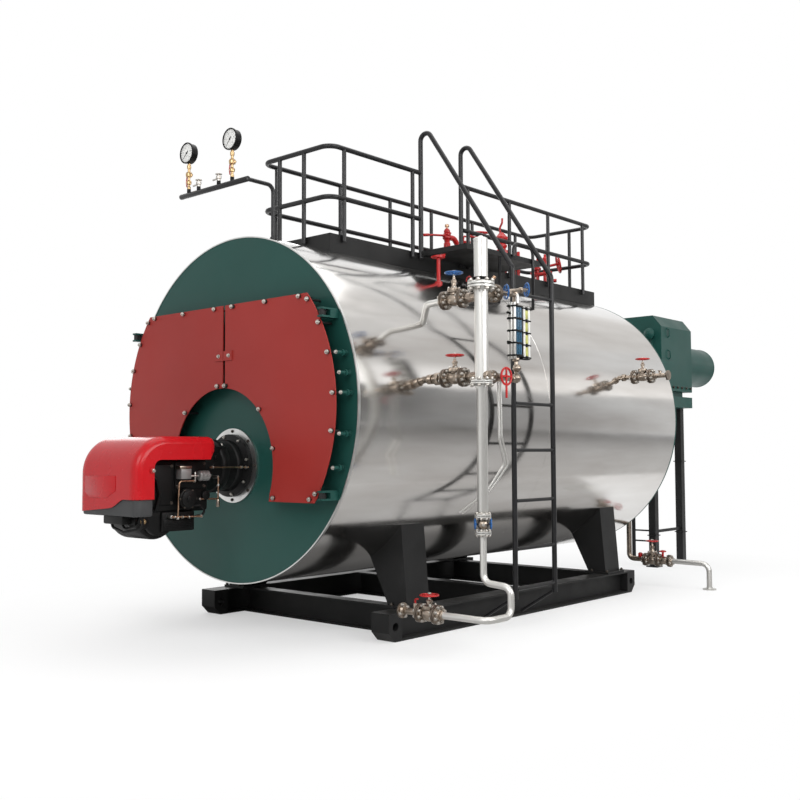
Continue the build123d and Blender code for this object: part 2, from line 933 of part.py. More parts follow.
def burner_motor():
    """Round motor on the side of the castings."""
    y = front_y - motor_lead
    level = burner_height - motor_drop
    seat_x = casting_half_width + seat_gap
    motor = bar((seat_x, y, level), (seat_x + motor_depth, y, level), motor_radius)
    cap_x = seat_x + motor_depth
    return motor + bar((cap_x, y, level), (cap_x + motor_cap_depth, y, level), motor_cap_radius)


# Pressure gauges on a header ahead of the crown
header_y = front_y - header_lead
header_level = drum_top + header_rise
gauge_level = header_level + gauge_rise


def gauge_header():
    riser_y = front_y + riser_offset
    route = (
        (riser_x, riser_y, drum_height(riser_x) - branch_bite),
        (riser_x, riser_y, header_level),
        (riser_x, header_y, header_level),
    )
    riser = bent_bar(route, riser_radius, riser_bend_radius)
    header_start = (header_left, header_y, header_level)
    header = bar(header_start, (riser_x + header_cap, header_y, header_level), header_radius)
    return riser + header - drum_cutter()


def gauge_cocks():
    cocks = []
    stem_foot = header_level + header_radius + seat_gap
    stem_top = gauge_level - gauge_radius - seat_gap
    body_foot = stem_foot + cock_body_rise
    for x in gauge_places:
        cock = bar((x, header_y, stem_foot), (x, header_y, stem_top), cock_stem_radius)
        body_top = body_foot + cock_body_height
        cock += bar((x, header_y, body_foot), (x, header_y, body_top), cock_body_radius)
        cocks.append(cock)
    return grouped(cocks)


def pressure_gauges():
    """Deep round cases, each with its dial set back behind the rim."""
    dials = []
    case_front = header_y - gauge_depth / 2
    for x in gauge_places:
        case = disc_y(x, case_front, gauge_level, gauge_radius, gauge_depth)
        well_depth = gauge_recess + cut_margin
        case -= disc_y(x, case_front - cut_margin, gauge_level, gauge_radius - gauge_rim, well_depth)
        dials.append(case)
    return Compound(dials)


# Nozzles of the crown fittings: place along the drum and radius where they pass the deck
safety_y = rear_y - safety_inset
steam_y = rear_y - steam_inset
lever_y = rear_y - lever_inset
vent_y = rear_y - vent_inset
crown_nozzles = (
    (safety_y, safety_radius),
    (steam_y, steam_radius),
    (lever_y, lever_radius),
    (vent_y, vent_radius),
)


# Platform on the crown
def deck_plate():
    plate = block(
        (deck_left + board_thickness, deck_right - board_thickness),
        (deck_front + board_thickness, deck_rear - board_thickness),
        (deck_level - deck_thickness, deck_level),
    )
    for y, radius in crown_nozzles:
        plate -= Pos(0, y, deck_level) * Cylinder(radius + nozzle_hole_clearance, 4 * deck_thickness)
    return plate


def deck_boards():
    """Two long side boards with the end boards between them, all cut to the drum."""
    z_range = (axis_height, board_top)
    inner_left = deck_left + board_thickness
    inner_right = deck_right - board_thickness
    boards = [
        block((deck_left, inner_left), (deck_front, deck_rear), z_range),
        block((inner_right, deck_right), (deck_front, deck_rear), z_range),
    ]
    cross_range = (inner_left + seat_gap, inner_right - seat_gap)
    for y in (deck_front, deck_rear - board_thickness):
        boards.append(block(cross_range, (y, y + board_thickness), z_range))
    seat = drum_cutter(deck_front - cut_margin, deck_rear + cut_margin)
    return grouped([board - seat for board in boards])


def rail_post(x, y, foot):
    return bar((x, y, foot), (x, y, rail_levels[1]), rail_post_radius)


def side_rail(x, y_start, y_end, post_shares):
    """Flat run of two rails along Y, with posts at shares of its length."""
    panel = bar((x, y_start, rail_levels[0]), (x, y_end, rail_levels[0]), rail_radius)
    for share in post_shares:
        panel += rail_post(x, y_start + share * (y_end - y_start), board_top - rail_post_lap)
    return panel + bar((x, y_start, rail_levels[1]), (x, y_end, rail_levels[1]), rail_radius)


def end_rail(y, toward, post_shares, foot):
    """Two rails across one end of the deck, with the corner bends."""
    turn_y = y + toward * (rail_bend_radius + seat_gap)
    places = [rail_left + share * (rail_right - rail_left) for share in post_shares]
    panel = rail_post(places[0], y, foot)
    for x in places[1:]:
        panel += rail_post(x, y, foot)
    for level in rail_levels:
        corners = (
            (rail_left, turn_y, level),
            (rail_left, y, level),
            (rail_right, y, level),
            (rail_right, turn_y, level),
        )
        panel += bent_bar(corners, rail_radius, rail_bend_radius)
    return panel


side_rail_front = rail_front + rail_bend_radius + 2 * seat_gap
side_rail_rear = rail_rear - rail_bend_radius - 2 * seat_gap
gate_clearance = stile_radius + seat_gap


def rail_left_side():
    return side_rail(rail_left, side_rail_front, side_rail_rear, far_post_shares)


def rail_right_front():
    return side_rail(rail_right, side_rail_front, gate_front - gate_clearance, near_front_post_shares)


def rail_right_rear():
    return side_rail(rail_right, gate_rear + gate_clearance, side_rail_rear, near_rear_post_shares)


def rail_front_end():
    return end_rail(rail_front, 1, front_end_post_shares, board_top - rail_post_lap)


def rail_rear_end():
    return end_rail(rail_rear, -1, rear_end_post_shares, deck_level)


# Ladder and landing
def ladder_stiles():
    """Each stile is one bar: upright at the deck, hook, slope, knee and ladder side."""
    stiles = []
    for y in (gate_front, gate_rear):
        points = (
            (rail_right, y, board_top - rail_post_lap),
            (rail_right, y, board_top + hook_rise),
            (ladder_x, y, knee_level),
            (ladder_x, y, stile_foot_level),
        )
        stiles.append(bent_bar(points, stile_radius, hook_bend_radius))
    return Compound(stiles)


def ladder_rungs():
    start = gate_front + stile_radius
    end = gate_rear - stile_radius
    return Compound([bar((ladder_x, start, z), (ladder_x, end, z), rung_radius) for z in rung_levels])


def ladder_braces():
    """Raking struts from the skid to the feet of the stiles."""
    braces = []
    skid_face = skid_half_width + seat_gap
    for y in (gate_front, gate_rear):
        top = (ladder_x, y, stile_foot_level + brace_lap)
        brace = bar((skid_half_width - brace_radius, y, brace_foot_level), top, brace_radius)
        brace -= bar((ladder_x, y, 0), (ladder_x, y, knee_level), stile_radius + seat_gap)
        brace -= block((0, skid_face), (y - beam_width, y + beam_width), (0, beam_height))
        braces.append(brace)
    return grouped(braces)


def landing_plate():
    return block(
        (landing_inner_x, landing_outer_x),
        (gate_front - landing_front_lap, landing_rear),
        (landing_level - landing_thickness, landing_level),
    )


def landing_struts():
    """Struts from the drum to the landing, and the bent guard tube at its end."""
    struts = []
    under_landing = landing_level - landing_thickness - seat_gap
    foot_x = landing_outer_x - strut_foot_shift
    for place in strut_places:
        y = gate_front + place
        foot = (foot_x, y + strut_foot_shift, drum_height(foot_x) - branch_bite)
        strut = bar((landing_outer_x - strut_radius, y, landing_level), foot, strut_radius)
        strut -= block(
            (landing_inner_x, landing_outer_x + beam_width),
            (gate_front, landing_rear),
            (under_landing, landing_level + landing_thickness),
        )
        struts.append(strut - drum_cutter())
    guard_x = landing_outer_x + guard_radius + seat_gap
    guard_level = landing_level + guard_height
    guard_rear = landing_rear - guard_foot_length - guard_bend_radius
    guard = bent_bar(
        (
            (guard_x, gate_rear + guard_front_reach, landing_level - landing_thickness / 2),
            (guard_x, gate_rear + guard_front_reach, guard_level),
            (guard_x, guard_rear, guard_level),
            (guard_x, guard_rear, under_landing - guard_bend_radius),
            (foot_x, landing_rear, drum_height(foot_x) - branch_bite),
        ),
        guard_radius,
        guard_bend_radius,
    )
    struts.append(guard - drum_cutter())
    return grouped(struts)


# Valves and hand wheels
def flanged_valve(centre, stem_height, length=valve_length, radius=branch_radius):
    """Globe valve along X: waisted body, two flanges and a bonnet that carries the wheel stem."""
    x, y, z = centre
    half = length / 2
    neck = radius * valve_neck_ratio
    belly = radius * valve_belly_ratio
    shoulder = half * valve_shoulder_ratio
    body = Plane.XZ * make_face(
        Polyline((-half, 0), (-half, neck), (-shoulder, neck))
        + Spline((-shoulder, neck), (0, belly), (shoulder, neck), tangents=((1, 0), (1, 0)))
        + Polyline((shoulder, neck), (half, neck), (half, 0), (-half, 0))
    )
    valve = Pos(*centre) * revolve(body, axis=Axis.X)
    for side in (-1, 1):
        face_x = x + side * (half - flange_thickness / 2)
        valve += flange((face_x, y, z), (1, 0, 0))
    bonnet_foot = z + stem_height * bonnet_foot_ratio
    bonnet_top = z + stem_height * bonnet_top_ratio
    valve += bar((x, y, z), (x, y, bonnet_top), radius * bonnet_ratio)
    joint_radius = radius * bonnet_joint_ratio
    valve += bar((x, y, bonnet_foot), (x, y, bonnet_foot + flange_thickness), joint_radius)
    return valve + bar((x, y, bonnet_top), (x, y, z + stem_height + wheel_hub_height), stem_radius)


def hand_wheel(centre, radius=wheel_radius, rim=wheel_rim):
    """Level wheel: six-sided rim section, four spokes and a bored hub."""
    section = Pos(radius - rim, 0) * RegularPolygon(rim, 6)
    wheel = revolve(Plane.XZ * section, axis=Axis.Z)
    wheel += Cylinder(stem_radius + wheel_hub_wall, wheel_hub_height)
    span = 2 * (radius - rim)
    wheel += Box(span, wheel_spoke_width, wheel_spoke_height)
    wheel += Box(wheel_spoke_width, span, wheel_spoke_height)
    wheel -= Cylinder(stem_radius + running_gap, 2 * wheel_hub_height)
    return Pos(*centre) * wheel


# Level column: flanged pipe stood off the drum by two valved branches
def column_cutter():
    top = column_top + cut_margin
    return bar((column_x, column_y, 0), (column_x, column_y, top), column_radius + seat_gap)


def level_column():
    column = bar((column_x, column_y, column_foot), (column_x, column_y, column_top), column_radius)
    joint_level = axis_height + column_joint_rise
    spacing = (column_flange_thickness + column_joint_gasket) / 2
    for z in (joint_level - spacing, joint_level + spacing):
        column += flange((column_x, column_y, z), (0, 0, 1), column_flange_radius, column_flange_thickness)
    foot_flange_level = column_foot + flange_thickness / 2
    return column + flange((column_x, column_y, foot_flange_level), (0, 0, 1), column_flange_radius)


def branch_run(level, valve_x, rise, drum_end):
    """Pipe with one valve, from the column towards the drum."""
    valve = flanged_valve((valve_x, column_y, level), rise)
    inner = valve_x - valve_length / 2
    outer = valve_x + valve_length / 2
    run = bar((outer, column_y, level), (column_x, column_y, level), branch_radius) - column_cutter()
    run += flange((outer + flange_thickness / 2, column_y, level), (1, 0, 0))
    tail = drum_end((inner, column_y, level))
    tail += flange((inner - flange_thickness / 2, column_y, level), (1, 0, 0))
    return valve + run + tail


def upper_tail(start):
    """Elbow and sloping pipe back to the shoulder of the drum."""
    x, y, z = start
    elbow_x = casing_radius + elbow_stand
    end = (elbow_x - elbow_run, y + elbow_shift, z - elbow_drop)
    return bent_bar((start, (elbow_x, y, z), end), branch_radius, branch_bend_radius) - drum_cutter()


def lower_tail(start):
    x, y, z = start
    return bar((drum_side(z) - branch_bite, y, z), start, branch_radius) - drum_cutter()


def level_gauge():
    """Glass gauge hung behind the column between two short branches."""
    glass_y = column_y + glass_reach
    low = lower_branch_level + glass_foot_rise
    high = low + glass_height
    top_level = axis_height + gauge_top_rise
    x_range = (column_x - glass_half_width, column_x + glass_half_width)
    y_range = (glass_y - glass_half_depth, glass_y + glass_half_depth)
    gauge = block(x_range, y_range, (low, high))
    for z in (low - glass_end_cap / 2, high + glass_end_cap / 2):
        gauge += flange((column_x, glass_y, z), (0, 0, 1), gauge_clamp_radius, glass_end_cap)
    strip_front = glass_y + glass_half_depth - strip_gap
    gauge += block(
        (column_x - strip_half_width, column_x + strip_half_width),
        (strip_front, strip_front + 2 * strip_gap + strip_depth),
        (low, high - strip_inset),
    )
    for z in (top_level, lower_branch_level):
        gauge += bar((column_x, column_y, z), (column_x, glass_y, z), gauge_pipe_radius)
        joint = (column_x, column_y + gauge_joint_reach, z)
        gauge += flange(joint, (0, 1, 0), gauge_joint_radius, gauge_joint_thickness)
    gauge += bar((column_x, glass_y, lower_branch_level), (column_x, glass_y, top_level), gauge_stem_radius)
    return gauge - column_cutter()


def column_tail():
    """Drain pipe under the column, round to the valve beside the skid."""
    top = column_foot - seat_gap
    points = (
        (column_x, column_y, top),
        (column_x, column_y, tail_bend_level),
        (tail_x, column_y, tail_bend_level),
        (tail_x, column_y, drain_level),
        (tail_x, drain_y, drain_level),
        (drain_x + drain_length / 2 + seat_gap, drain_y, drain_level),
    )
    tail = bent_bar(points, tail_radius, tail_bend_radius)
    joints = [axis_height - drop for drop in tail_joint_drops]
    for z in joints:
        tail += flange((column_x, column_y, z), (0, 0, 1), tail_joint_radius, tail_joint_thickness)
    tail += Pos(column_x, column_y, sum(joints) / 2) * Sphere(tail_valve_radius)
    upper_pipe = bar((column_x, column_y, joints[0]), (column_x, column_y, top), column_radius)
    return tail + upper_pipe


def drain_valve():
    valve = flanged_valve((drain_x, drain_y, drain_level), drain_rise, drain_length, branch_radius)
    outlet_x = drain_x - drain_length / 2 - drain_outlet_reach
    valve += bar((outlet_x, drain_y, drain_level), (drain_x, drain_y, drain_level), drain_outlet_radius)
    lip_x = outlet_x + flange_thickness / 2
    valve += flange((lip_x, drain_y, drain_level), (1, 0, 0), drain_outlet_flange_radius)
    bore_end = (outlet_x + drain_outlet_reach / 2, drain_y, drain_level)
    return valve - bar((outlet_x - cut_margin, drain_y, drain_level), bore_end, drain_outlet_bore)


# Feed line on the rear quarter
def feed_line():
    line = flanged_valve((feed_valve_x, feed_y, feed_level), feed_wheel_rise, feed_valve_length)
    start_x = drum_side(feed_level) - branch_bite
    line += bar((start_x, feed_y, feed_level), (feed_end_x, feed_y, feed_level), feed_pipe_radius)
    line += flange((feed_end_x - feed_flange_lap, feed_y, feed_level), (1, 0, 0), feed_flange_radius)
    bore_start = (feed_end_x - feed_flange_radius, feed_y, feed_level)
    line -= bar(bore_start, (feed_end_x + cut_margin, feed_y, feed_level), feed_pipe_bore)
    return line - drum_cutter()


# Crown fittings on nozzles through the deck
def nozzle(y, radius, top_rise):
    """Pipe on top of the drum with a flange pair above the deck."""
    fitting = bar((0, y, drum_top + seat_gap), (0, y, drum_top + top_rise), radius)
    flange_level = drum_top + nozzle_flange_rise
    spread = radius + nozzle_flange_margin
    return fitting + flange((0, y, flange_level), (0, 0, 1), spread, 2 * flange_thickness)


def safety_valve():
    """Spring safety valve with a capped bonnet, a side outlet and a lifting lever."""
    outlet_level = drum_top + safety_outlet_rise
    outlet_end = safety_y + safety_outlet_reach
    lever_level = drum_top + safety_lever_rise
    middle = (0, safety_y, outlet_level)
    valve = nozzle(safety_y, safety_radius, safety_outlet_rise)
    valve += Pos(*middle) * Sphere(safety_radius + ball_margin)
    valve += bar(middle, (0, safety_y, drum_top + safety_top_rise), safety_bonnet_radius)
    valve += bar(middle, (0, outlet_end, outlet_level), safety_bonnet_radius)
    valve += flange((0, outlet_end, outlet_level), (0, 1, 0), safety_radius + ball_margin)
    return valve + bar((0, safety_y - safety_lever_reach, lever_level), middle, stem_radius)


def steam_valve():
    """Main stop valve, upright body with a large level wheel."""
    wheel_level = drum_top + steam_wheel_rise
    body_level = drum_top + steam_body_rise
    valve = nozzle(steam_y, steam_radius, steam_body_rise)
    valve += Pos(0, steam_y, body_level) * Sphere(steam_radius + ball_margin)
    yoke_top = (0, steam_y, wheel_level - steam_radius)
    valve += bar((0, steam_y, body_level), yoke_top, steam_yoke_radius)
    valve += bar(yoke_top, (0, steam_y, wheel_level + wheel_hub_height), 2 * stem_radius)
    section = Pos(steam_wheel_radius - steam_wheel_rim, 0) * RegularPolygon(steam_wheel_rim, 6)
    wheel = revolve(Plane.XZ * section, axis=Axis.Z)
    span = 2 * (steam_wheel_radius - steam_wheel_rim)
    wheel += Box(span, steam_wheel_spoke, wheel_spoke_height)
    wheel += Box(steam_wheel_spoke, span, wheel_spoke_height)
    wheel += Cylinder(steam_wheel_spoke + stem_radius, wheel_hub_height)
    return valve + Pos(0, steam_y, wheel_level) * wheel


def lever_valve():
    """Slim valve with a cone above its flange and a tall lever stem."""
    cone_foot = drum_top + nozzle_flange_rise + flange_thickness
    cone_middle = cone_foot + lever_cone_height / 2
    cone = Pos(0, lever_y, cone_middle) * Cone(lever_cone_radius, lever_radius, lever_cone_height)
    valve = nozzle(lever_y, lever_radius, lever_body_rise) + cone
    stem_foot = (0, lever_y, drum_top + nozzle_flange_rise)
    return valve + bar(stem_foot, (0, lever_y, drum_top + lever_top_rise), lever_stem_radius)


def vent_valve():
    """Short valve at the rear with a ball body and a side outlet."""
    body_level = drum_top + vent_body_rise
    outlet_end = vent_y + vent_outlet_reach
    middle = (0, vent_y, body_level)
    valve = nozzle(vent_y, vent_radius, vent_body_rise)
    valve += Pos(*middle) * Sphere(vent_radius + ball_margin)
    valve += bar(middle, (0, vent_y, drum_top + vent_top_rise), vent_stem_radius)
    valve += bar(middle, (0, outlet_end, body_level), vent_stem_radius)
    return valve + flange((0, outlet_end, body_level), (0, 1, 0), vent_radius + ball_margin)


def standpipe():
    """Thin pipe with a tee that stands on the drum's shoulder below the landing."""
    y = front_y + standpipe_offset
    top = drum_top + standpipe_top_rise
    foot = drum_height(standpipe_x) - 2 * branch_bite
    pipe = bar((standpipe_x, y, foot), (standpipe_x, y, top), standpipe_radius) - drum_cutter()
    tee_start = (standpipe_x, y - standpipe_tee_reach, top)
    return pipe + bar(tee_start, (standpipe_x, y + standpipe_tee_reach, top), standpipe_tee_radius)


def crown_fittings():
    return grouped([safety_valve(), steam_valve(), lever_valve(), vent_valve(), standpipe()])


# Rear flue box with its lower frame and the duct
def flue_box():
    outline = Polygon(
        (box_half_width, box_bottom),
        (box_half_width, box_top - box_chamfer_z),
        (box_half_width - box_chamfer_x, box_top),
        (-box_half_width + box_chamfer_x, box_top),
        (-box_half_width, box_top - box_chamfer_z),
        (-box_half_width, box_bottom),
        align=None,
    )
    boss_level = box_top - boss_drop
    boss = disc_y(boss_x, box_front - boss_length, boss_level, boss_radius, boss_length)
    return prism_y(outline, box_front, box_rear) + boss


def flue_box_base():
    """Bolting flange, narrow neck and the frame that rests on the posts."""
    x_range = (-box_half_width, box_half_width)
    neck_x = (-box_half_width + box_neck_inset_x, box_half_width - box_neck_inset_x)
    neck_y = (box_front + box_neck_inset_y, box_rear - box_neck_inset_y)
    base = block(x_range, (box_front, box_rear), (box_flange_bottom, box_bottom - seat_gap))
    base += block(neck_x, neck_y, (box_frame_top, box_flange_bottom))
    return base + block(x_range, (box_front, box_rear), (box_frame_bottom, box_frame_top))


def flue_connector():
    return tube_y(rear_y + seat_gap, box_front - seat_gap, duct_radius, duct_radius - duct_wall, duct_level)


def flue_duct():
    """Round outlet with a collar against the box."""
    start = box_rear + seat_gap
    inner = duct_radius - duct_wall
    duct = tube_y(start, start + duct_length, duct_radius, inner, duct_level)
    return duct + tube_y(start, start + duct_collar_thickness, duct_collar_radius, inner, duct_level)


def rear_posts():
    """Two square posts on foot plates, with plates round them where they are joined."""
    posts = []
    half = rear_post_side / 2
    reach = half + foot_plate_margin
    plate_reach = half + post_collar_margin
    x_range = (rear_post_x - half, rear_post_x + half)
    for y in (post_front_y, post_rear_y):
        post = block(x_range, (y - half, y + half), (0, post_top))
        foot_x = (rear_post_x - reach, rear_post_x + reach)
        post += block(foot_x, (y - reach, y + reach), (0, foot_plate_thickness))
        plate_x = (rear_post_x - plate_reach, rear_post_x + plate_reach)
        for level in post_collar_levels:
            post += block(
                plate_x, (y - plate_reach, y + plate_reach), (level, level + post_collar_thickness)
            )
        posts.append(post)
    return Compound(posts)


def rear_ties():
    """Tie between the posts, and two thin ties out to the box drain."""
    post_reach = rear_post_side / 2 + seat_gap
    half = tie_side / 2
    tie_x = (rear_post_x - half, rear_post_x + half)
    tie_y = (post_front_y + post_reach, post_rear_y - post_reach)
    ties = [block(tie_x, tie_y, (tie_level - half, tie_level + half))]
    drain_end_x = box_drain_x + box_drain_radius + seat_gap
    for level in drain_tie_levels:
        start = (rear_post_x - post_reach, post_front_y, level)
        ties.append(bar(start, (drain_end_x, post_front_y, level), drain_tie_radius))
    return Compound(ties)


def flue_box_drain():
    """Black pipe from under the flue box down towards the floor."""
    top = (box_drain_x, post_front_y, post_top)
    return bar((box_drain_x, post_front_y, box_drain_foot_level), top, box_drain_radius)


# Blowdown line behind the drum
def blowdown_line():
    """Pipe from the rear plate down to a valve, then across and down to its foot."""
    reach = casing_radius - blowdown_nozzle_margin
    nozzle_level = axis_height - math.sqrt(reach**2 - blowdown_nozzle_x**2)
    points = (
        (blowdown_nozzle_x, rear_y + seat_gap, nozzle_level),
        (blowdown_nozzle_x, blowdown_y, nozzle_level),
        (blowdown_nozzle_x, blowdown_y, blowdown_level),
        (blowdown_foot_x, blowdown_y, blowdown_level),
        (blowdown_foot_x, blowdown_y, 0),
    )
    line = bent_bar(points, blowdown_radius, blowdown_bend_radius)
    line += flanged_valve((blowdown_valve_x, blowdown_y, blowdown_level), blowdown_wheel_rise)
    joint = (blowdown_flange_x, blowdown_y, blowdown_level)
    line += flange(joint, (1, 0, 0), blowdown_flange_radius)
    foot = (blowdown_foot_x, blowdown_y, 0)
    line += bar(foot, (blowdown_foot_x, blowdown_y, blowdown_foot_thickness), blowdown_foot_radius)
    bore_end = (blowdown_foot_x, blowdown_y, blowdown_bore_depth)
    return line - bar((blowdown_foot_x, blowdown_y, -cut_margin), bore_end, blowdown_bore)


def build():
    nodes = {
        "skid_runner_right": skid_runner(),
        "skid_runner_left": mirrored(skid_runner()),
        "skid_cross_beams": cross_beams(),
        "saddle_front": saddle(saddle_front_y),
        "saddle_rear": saddle(saddle_rear_y),
        "drum_casing": casing(),
        "front_trim_ring": front_trim(),
        "front_plate": front_plate(),
        "rear_plate": rear_plate(),
        "tube_plate": tube_plate(),
        "furnace_tube": furnace_tube(),
        "door_cover_right": door_cover(right_free_edge),
        "door_cover_left": mirrored(door_cover(left_free_edge)),
        "door_body_right": door_body(right_free_edge),
        "door_body_left": mirrored(door_body(left_free_edge)),
        "hinge_lugs": hinge_lugs(),
        "door_clamps": door_clamps(),
        "burner_ring": burner_ring(),
        "burner_tube": burner_tube(),
        "burner_hood": burner_hood(),
        "burner_housing": burner_housing(),
        "burner_motor": burner_motor(),
        "gauge_header": gauge_header(),
        "gauge_cocks": gauge_cocks(),
        "pressure_gauges": pressure_gauges(),
        "deck_plate": deck_plate(),
        "deck_boards": deck_boards(),
        "rail_left_side": rail_left_side(),
        "rail_right_front": rail_right_front(),
        "rail_right_rear": rail_right_rear(),
        "rail_front_end": rail_front_end(),
        "rail_rear_end": rail_rear_end(),
        "ladder_stiles": ladder_stiles(),
        "ladder_rungs": ladder_rungs(),
        "ladder_braces": ladder_braces(),
        "landing_plate": landing_plate(),
        "landing_struts": landing_struts(),
        "level_column": level_column(),
        "upper_branch": branch_run(upper_branch_level, upper_valve_x, upper_wheel_rise, upper_tail),
        "lower_branch": branch_run(lower_branch_level, lower_valve_x, lower_wheel_rise, lower_tail),
        "level_gauge": level_gauge(),
        "column_tail": column_tail(),
        "drain_valve": drain_valve(),
        "feed_line": feed_line(),
        "crown_fittings": crown_fittings(),
        "flue_box": flue_box(),
        "flue_box_base": flue_box_base(),
        "flue_connector": flue_connector(),
        "flue_duct": flue_duct(),
        "rear_posts": rear_posts(),
        "rear_ties": rear_ties(),
        "flue_box_drain": flue_box_drain(),
        "blowdown_line": blowdown_line(),
        "wheel_upper_branch": hand_wheel((upper_valve_x, column_y, upper_branch_level + upper_wheel_rise)),
        "wheel_lower_branch": hand_wheel((lower_valve_x, column_y, lower_branch_level + lower_wheel_rise)),
        "wheel_drain": hand_wheel((drain_x, drain_y, drain_level + drain_rise)),
        "wheel_feed": hand_wheel((feed_valve_x, feed_y, feed_level + feed_wheel_rise)),
        "wheel_blowdown": hand_wheel((blowdown_valve_x, blowdown_y, blowdown_level + blowdown_wheel_rise)),
    }
    for name, shape in nodes.items():
        save(name, shape)


if __name__ == "__main__":
    build()
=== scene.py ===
"""Looks of a fire-tube steam boiler on its skid: finishes, bolted detail, light and camera."""

from __future__ import annotations

import logging
import math
from collections.abc import Iterable, Sequence
from dataclasses import dataclass
from enum import Enum

import bpy
from mathutils import Matrix, Vector, noise

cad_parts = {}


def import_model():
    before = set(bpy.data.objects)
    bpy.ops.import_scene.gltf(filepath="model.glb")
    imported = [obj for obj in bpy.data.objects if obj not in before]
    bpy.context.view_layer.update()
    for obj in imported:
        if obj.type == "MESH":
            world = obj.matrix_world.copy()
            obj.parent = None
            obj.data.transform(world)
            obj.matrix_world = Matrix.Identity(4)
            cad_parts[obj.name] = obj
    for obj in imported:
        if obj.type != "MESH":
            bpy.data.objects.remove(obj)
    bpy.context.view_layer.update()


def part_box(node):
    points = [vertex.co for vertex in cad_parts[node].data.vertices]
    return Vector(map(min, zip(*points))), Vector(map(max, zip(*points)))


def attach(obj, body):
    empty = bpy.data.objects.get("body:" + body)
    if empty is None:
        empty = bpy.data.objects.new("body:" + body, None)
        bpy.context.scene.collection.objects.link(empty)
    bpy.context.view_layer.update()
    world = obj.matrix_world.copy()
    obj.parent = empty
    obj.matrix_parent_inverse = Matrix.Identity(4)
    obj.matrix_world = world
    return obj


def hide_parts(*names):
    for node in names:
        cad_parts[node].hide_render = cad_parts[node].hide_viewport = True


LOG = logging.getLogger("boiler")

Piece = bpy.types.Object
Socket = bpy.types.NodeSocket
Pair = tuple[float, float]
Point = tuple[float, float, float]
Color = tuple[float, float, float]
Place = Sequence[float]
Route = Sequence[Place]
Profile = Sequence[Pair]

# Sockets of the colour mix node, which have no unique names
MIX_FACTOR, MIX_FIRST, MIX_SECOND, MIX_RESULT = 0, 6, 7, 2
WHITE = (1.0, 1.0, 1.0)
DUST = (0.42, 0.40, 0.36)
COAT_ROUGHNESS = 0.12

X_AXIS = Vector((1.0, 0.0, 0.0))
Y_AXIS = Vector((0.0, 1.0, 0.0))
Z_AXIS = Vector((0.0, 0.0, 1.0))


# Modelling moves that every sub-assembly shares


def clear() -> None:
    """Deselect every object."""
    bpy.ops.object.select_all(action="DESELECT")


def pick(piece: Piece) -> None:
    """Select one object alone and make it the active one."""
    clear()
    piece.select_set(True)
    bpy.context.view_layer.objects.active = piece


def take(name: str) -> Piece:
    """Name the object that an operator has just added and put its place into its mesh."""
    piece = bpy.context.active_object
    piece.name = name
    piece.data.name = name
    piece.data.transform(piece.matrix_basis)
    piece.matrix_basis = Matrix.Identity(4)
    return piece


def apply_modifier(piece: Piece, kind: str, **settings: object) -> Piece:
    """Add a modifier and apply it at once.

    Args:
        piece: The object to change.
        kind: Blender's name of the modifier type.
        settings: Values for the modifier's own settings.

    Returns:
        The same object.
    """
    modifier = piece.modifiers.new(kind.lower(), kind)
    for key, value in settings.items():
        setattr(modifier, key, value)
    pick(piece)
    bpy.ops.object.modifier_apply(modifier=modifier.name)
    return piece


def rounded(piece: Piece, width: float, segments: int = 2) -> Piece:
    """Round the piece's sharp edges."""
    limit = math.radians(35)
    return apply_modifier(
        piece, "BEVEL", width=width, segments=segments, limit_method="ANGLE", angle_limit=limit
    )


def smooth(piece: Piece, angle: float = 38.0) -> Piece:
    """Shade the piece smooth, apart from edges sharper than the angle in degrees."""
    pick(piece)
    bpy.ops.object.shade_smooth_by_angle(angle=math.radians(angle))
    return piece


def aim(origin: Place, direction: Place, turn: float = 0.0) -> Matrix:
    """Frame whose Z runs along a direction.

    Args:
        origin: Where the frame stands.
        direction: Where its Z axis points.
        turn: Turn about that axis, in degrees.

    Returns:
        The frame as a matrix.
    """
    track = Vector(direction).to_track_quat("Z", "Y").to_matrix().to_4x4()
    return Matrix.Translation(Vector(origin)) @ track @ Matrix.Rotation(math.radians(turn), 4, "Z")


def shift(x: float, y: float, z: float) -> Matrix:
    """Frame at a place, its axes along the part's."""
    return Matrix.Translation((x, y, z))


def moved(piece: Piece, frame: Matrix) -> Piece:
    """Carry the piece's mesh into a frame."""
    piece.data.transform(frame)
    return piece


def rod(
    name: str, start: Place, end: Place, radius: float, sides: int = 24,
    edge: float = 0.0
) -> Piece:
    """Straight round bar between two points, with softened ends."""
    run = Vector(end) - Vector(start)
    clear()
    bpy.ops.mesh.primitive_cylinder_add(vertices=sides, radius=radius, depth=run.length)
    piece = take(name)
    piece.data.transform(shift(0, 0, run.length / 2))
    moved(piece, aim(start, run))
    rounded(piece, edge or radius * 0.08, 1 if sides < 12 else 2)
    return smooth(piece)


def block(name: str, low: Place, high: Place, edge: float = 0.002, segments: int = 2) -> Piece:
    """Box between two corners with rounded edges."""
    low, high = Vector(low), Vector(high)
    clear()
    bpy.ops.mesh.primitive_cube_add(size=1.0, location=(low + high) / 2, scale=high - low)
    piece = take(name)
    rounded(piece, edge, segments)
    return smooth(piece)


def drawn(name: str, points: Iterable[Place]) -> Piece:
    """Draw a line through points by extruding one vertex.

    Args:
        name: Name of the new piece.
        points: Points of the line.

    Returns:
        The line, all of it selected, still in edit mode.
    """
    clear()
    bpy.ops.mesh.primitive_plane_add(size=1.0)
    piece = take(name)
    bpy.ops.object.mode_set(mode="EDIT")
    bpy.ops.mesh.select_all(action="SELECT")
    bpy.ops.mesh.merge(type="CENTER")
    at = Vector((0.0, 0.0, 0.0))
    for number, point in enumerate(points):
        step = Vector(point) - at
        if number:
            bpy.ops.mesh.extrude_region_move(TRANSFORM_OT_translate={"value": step})
        else:
            bpy.ops.transform.translate(value=step)
        at += step
    bpy.ops.mesh.select_all(action="SELECT")
    return piece


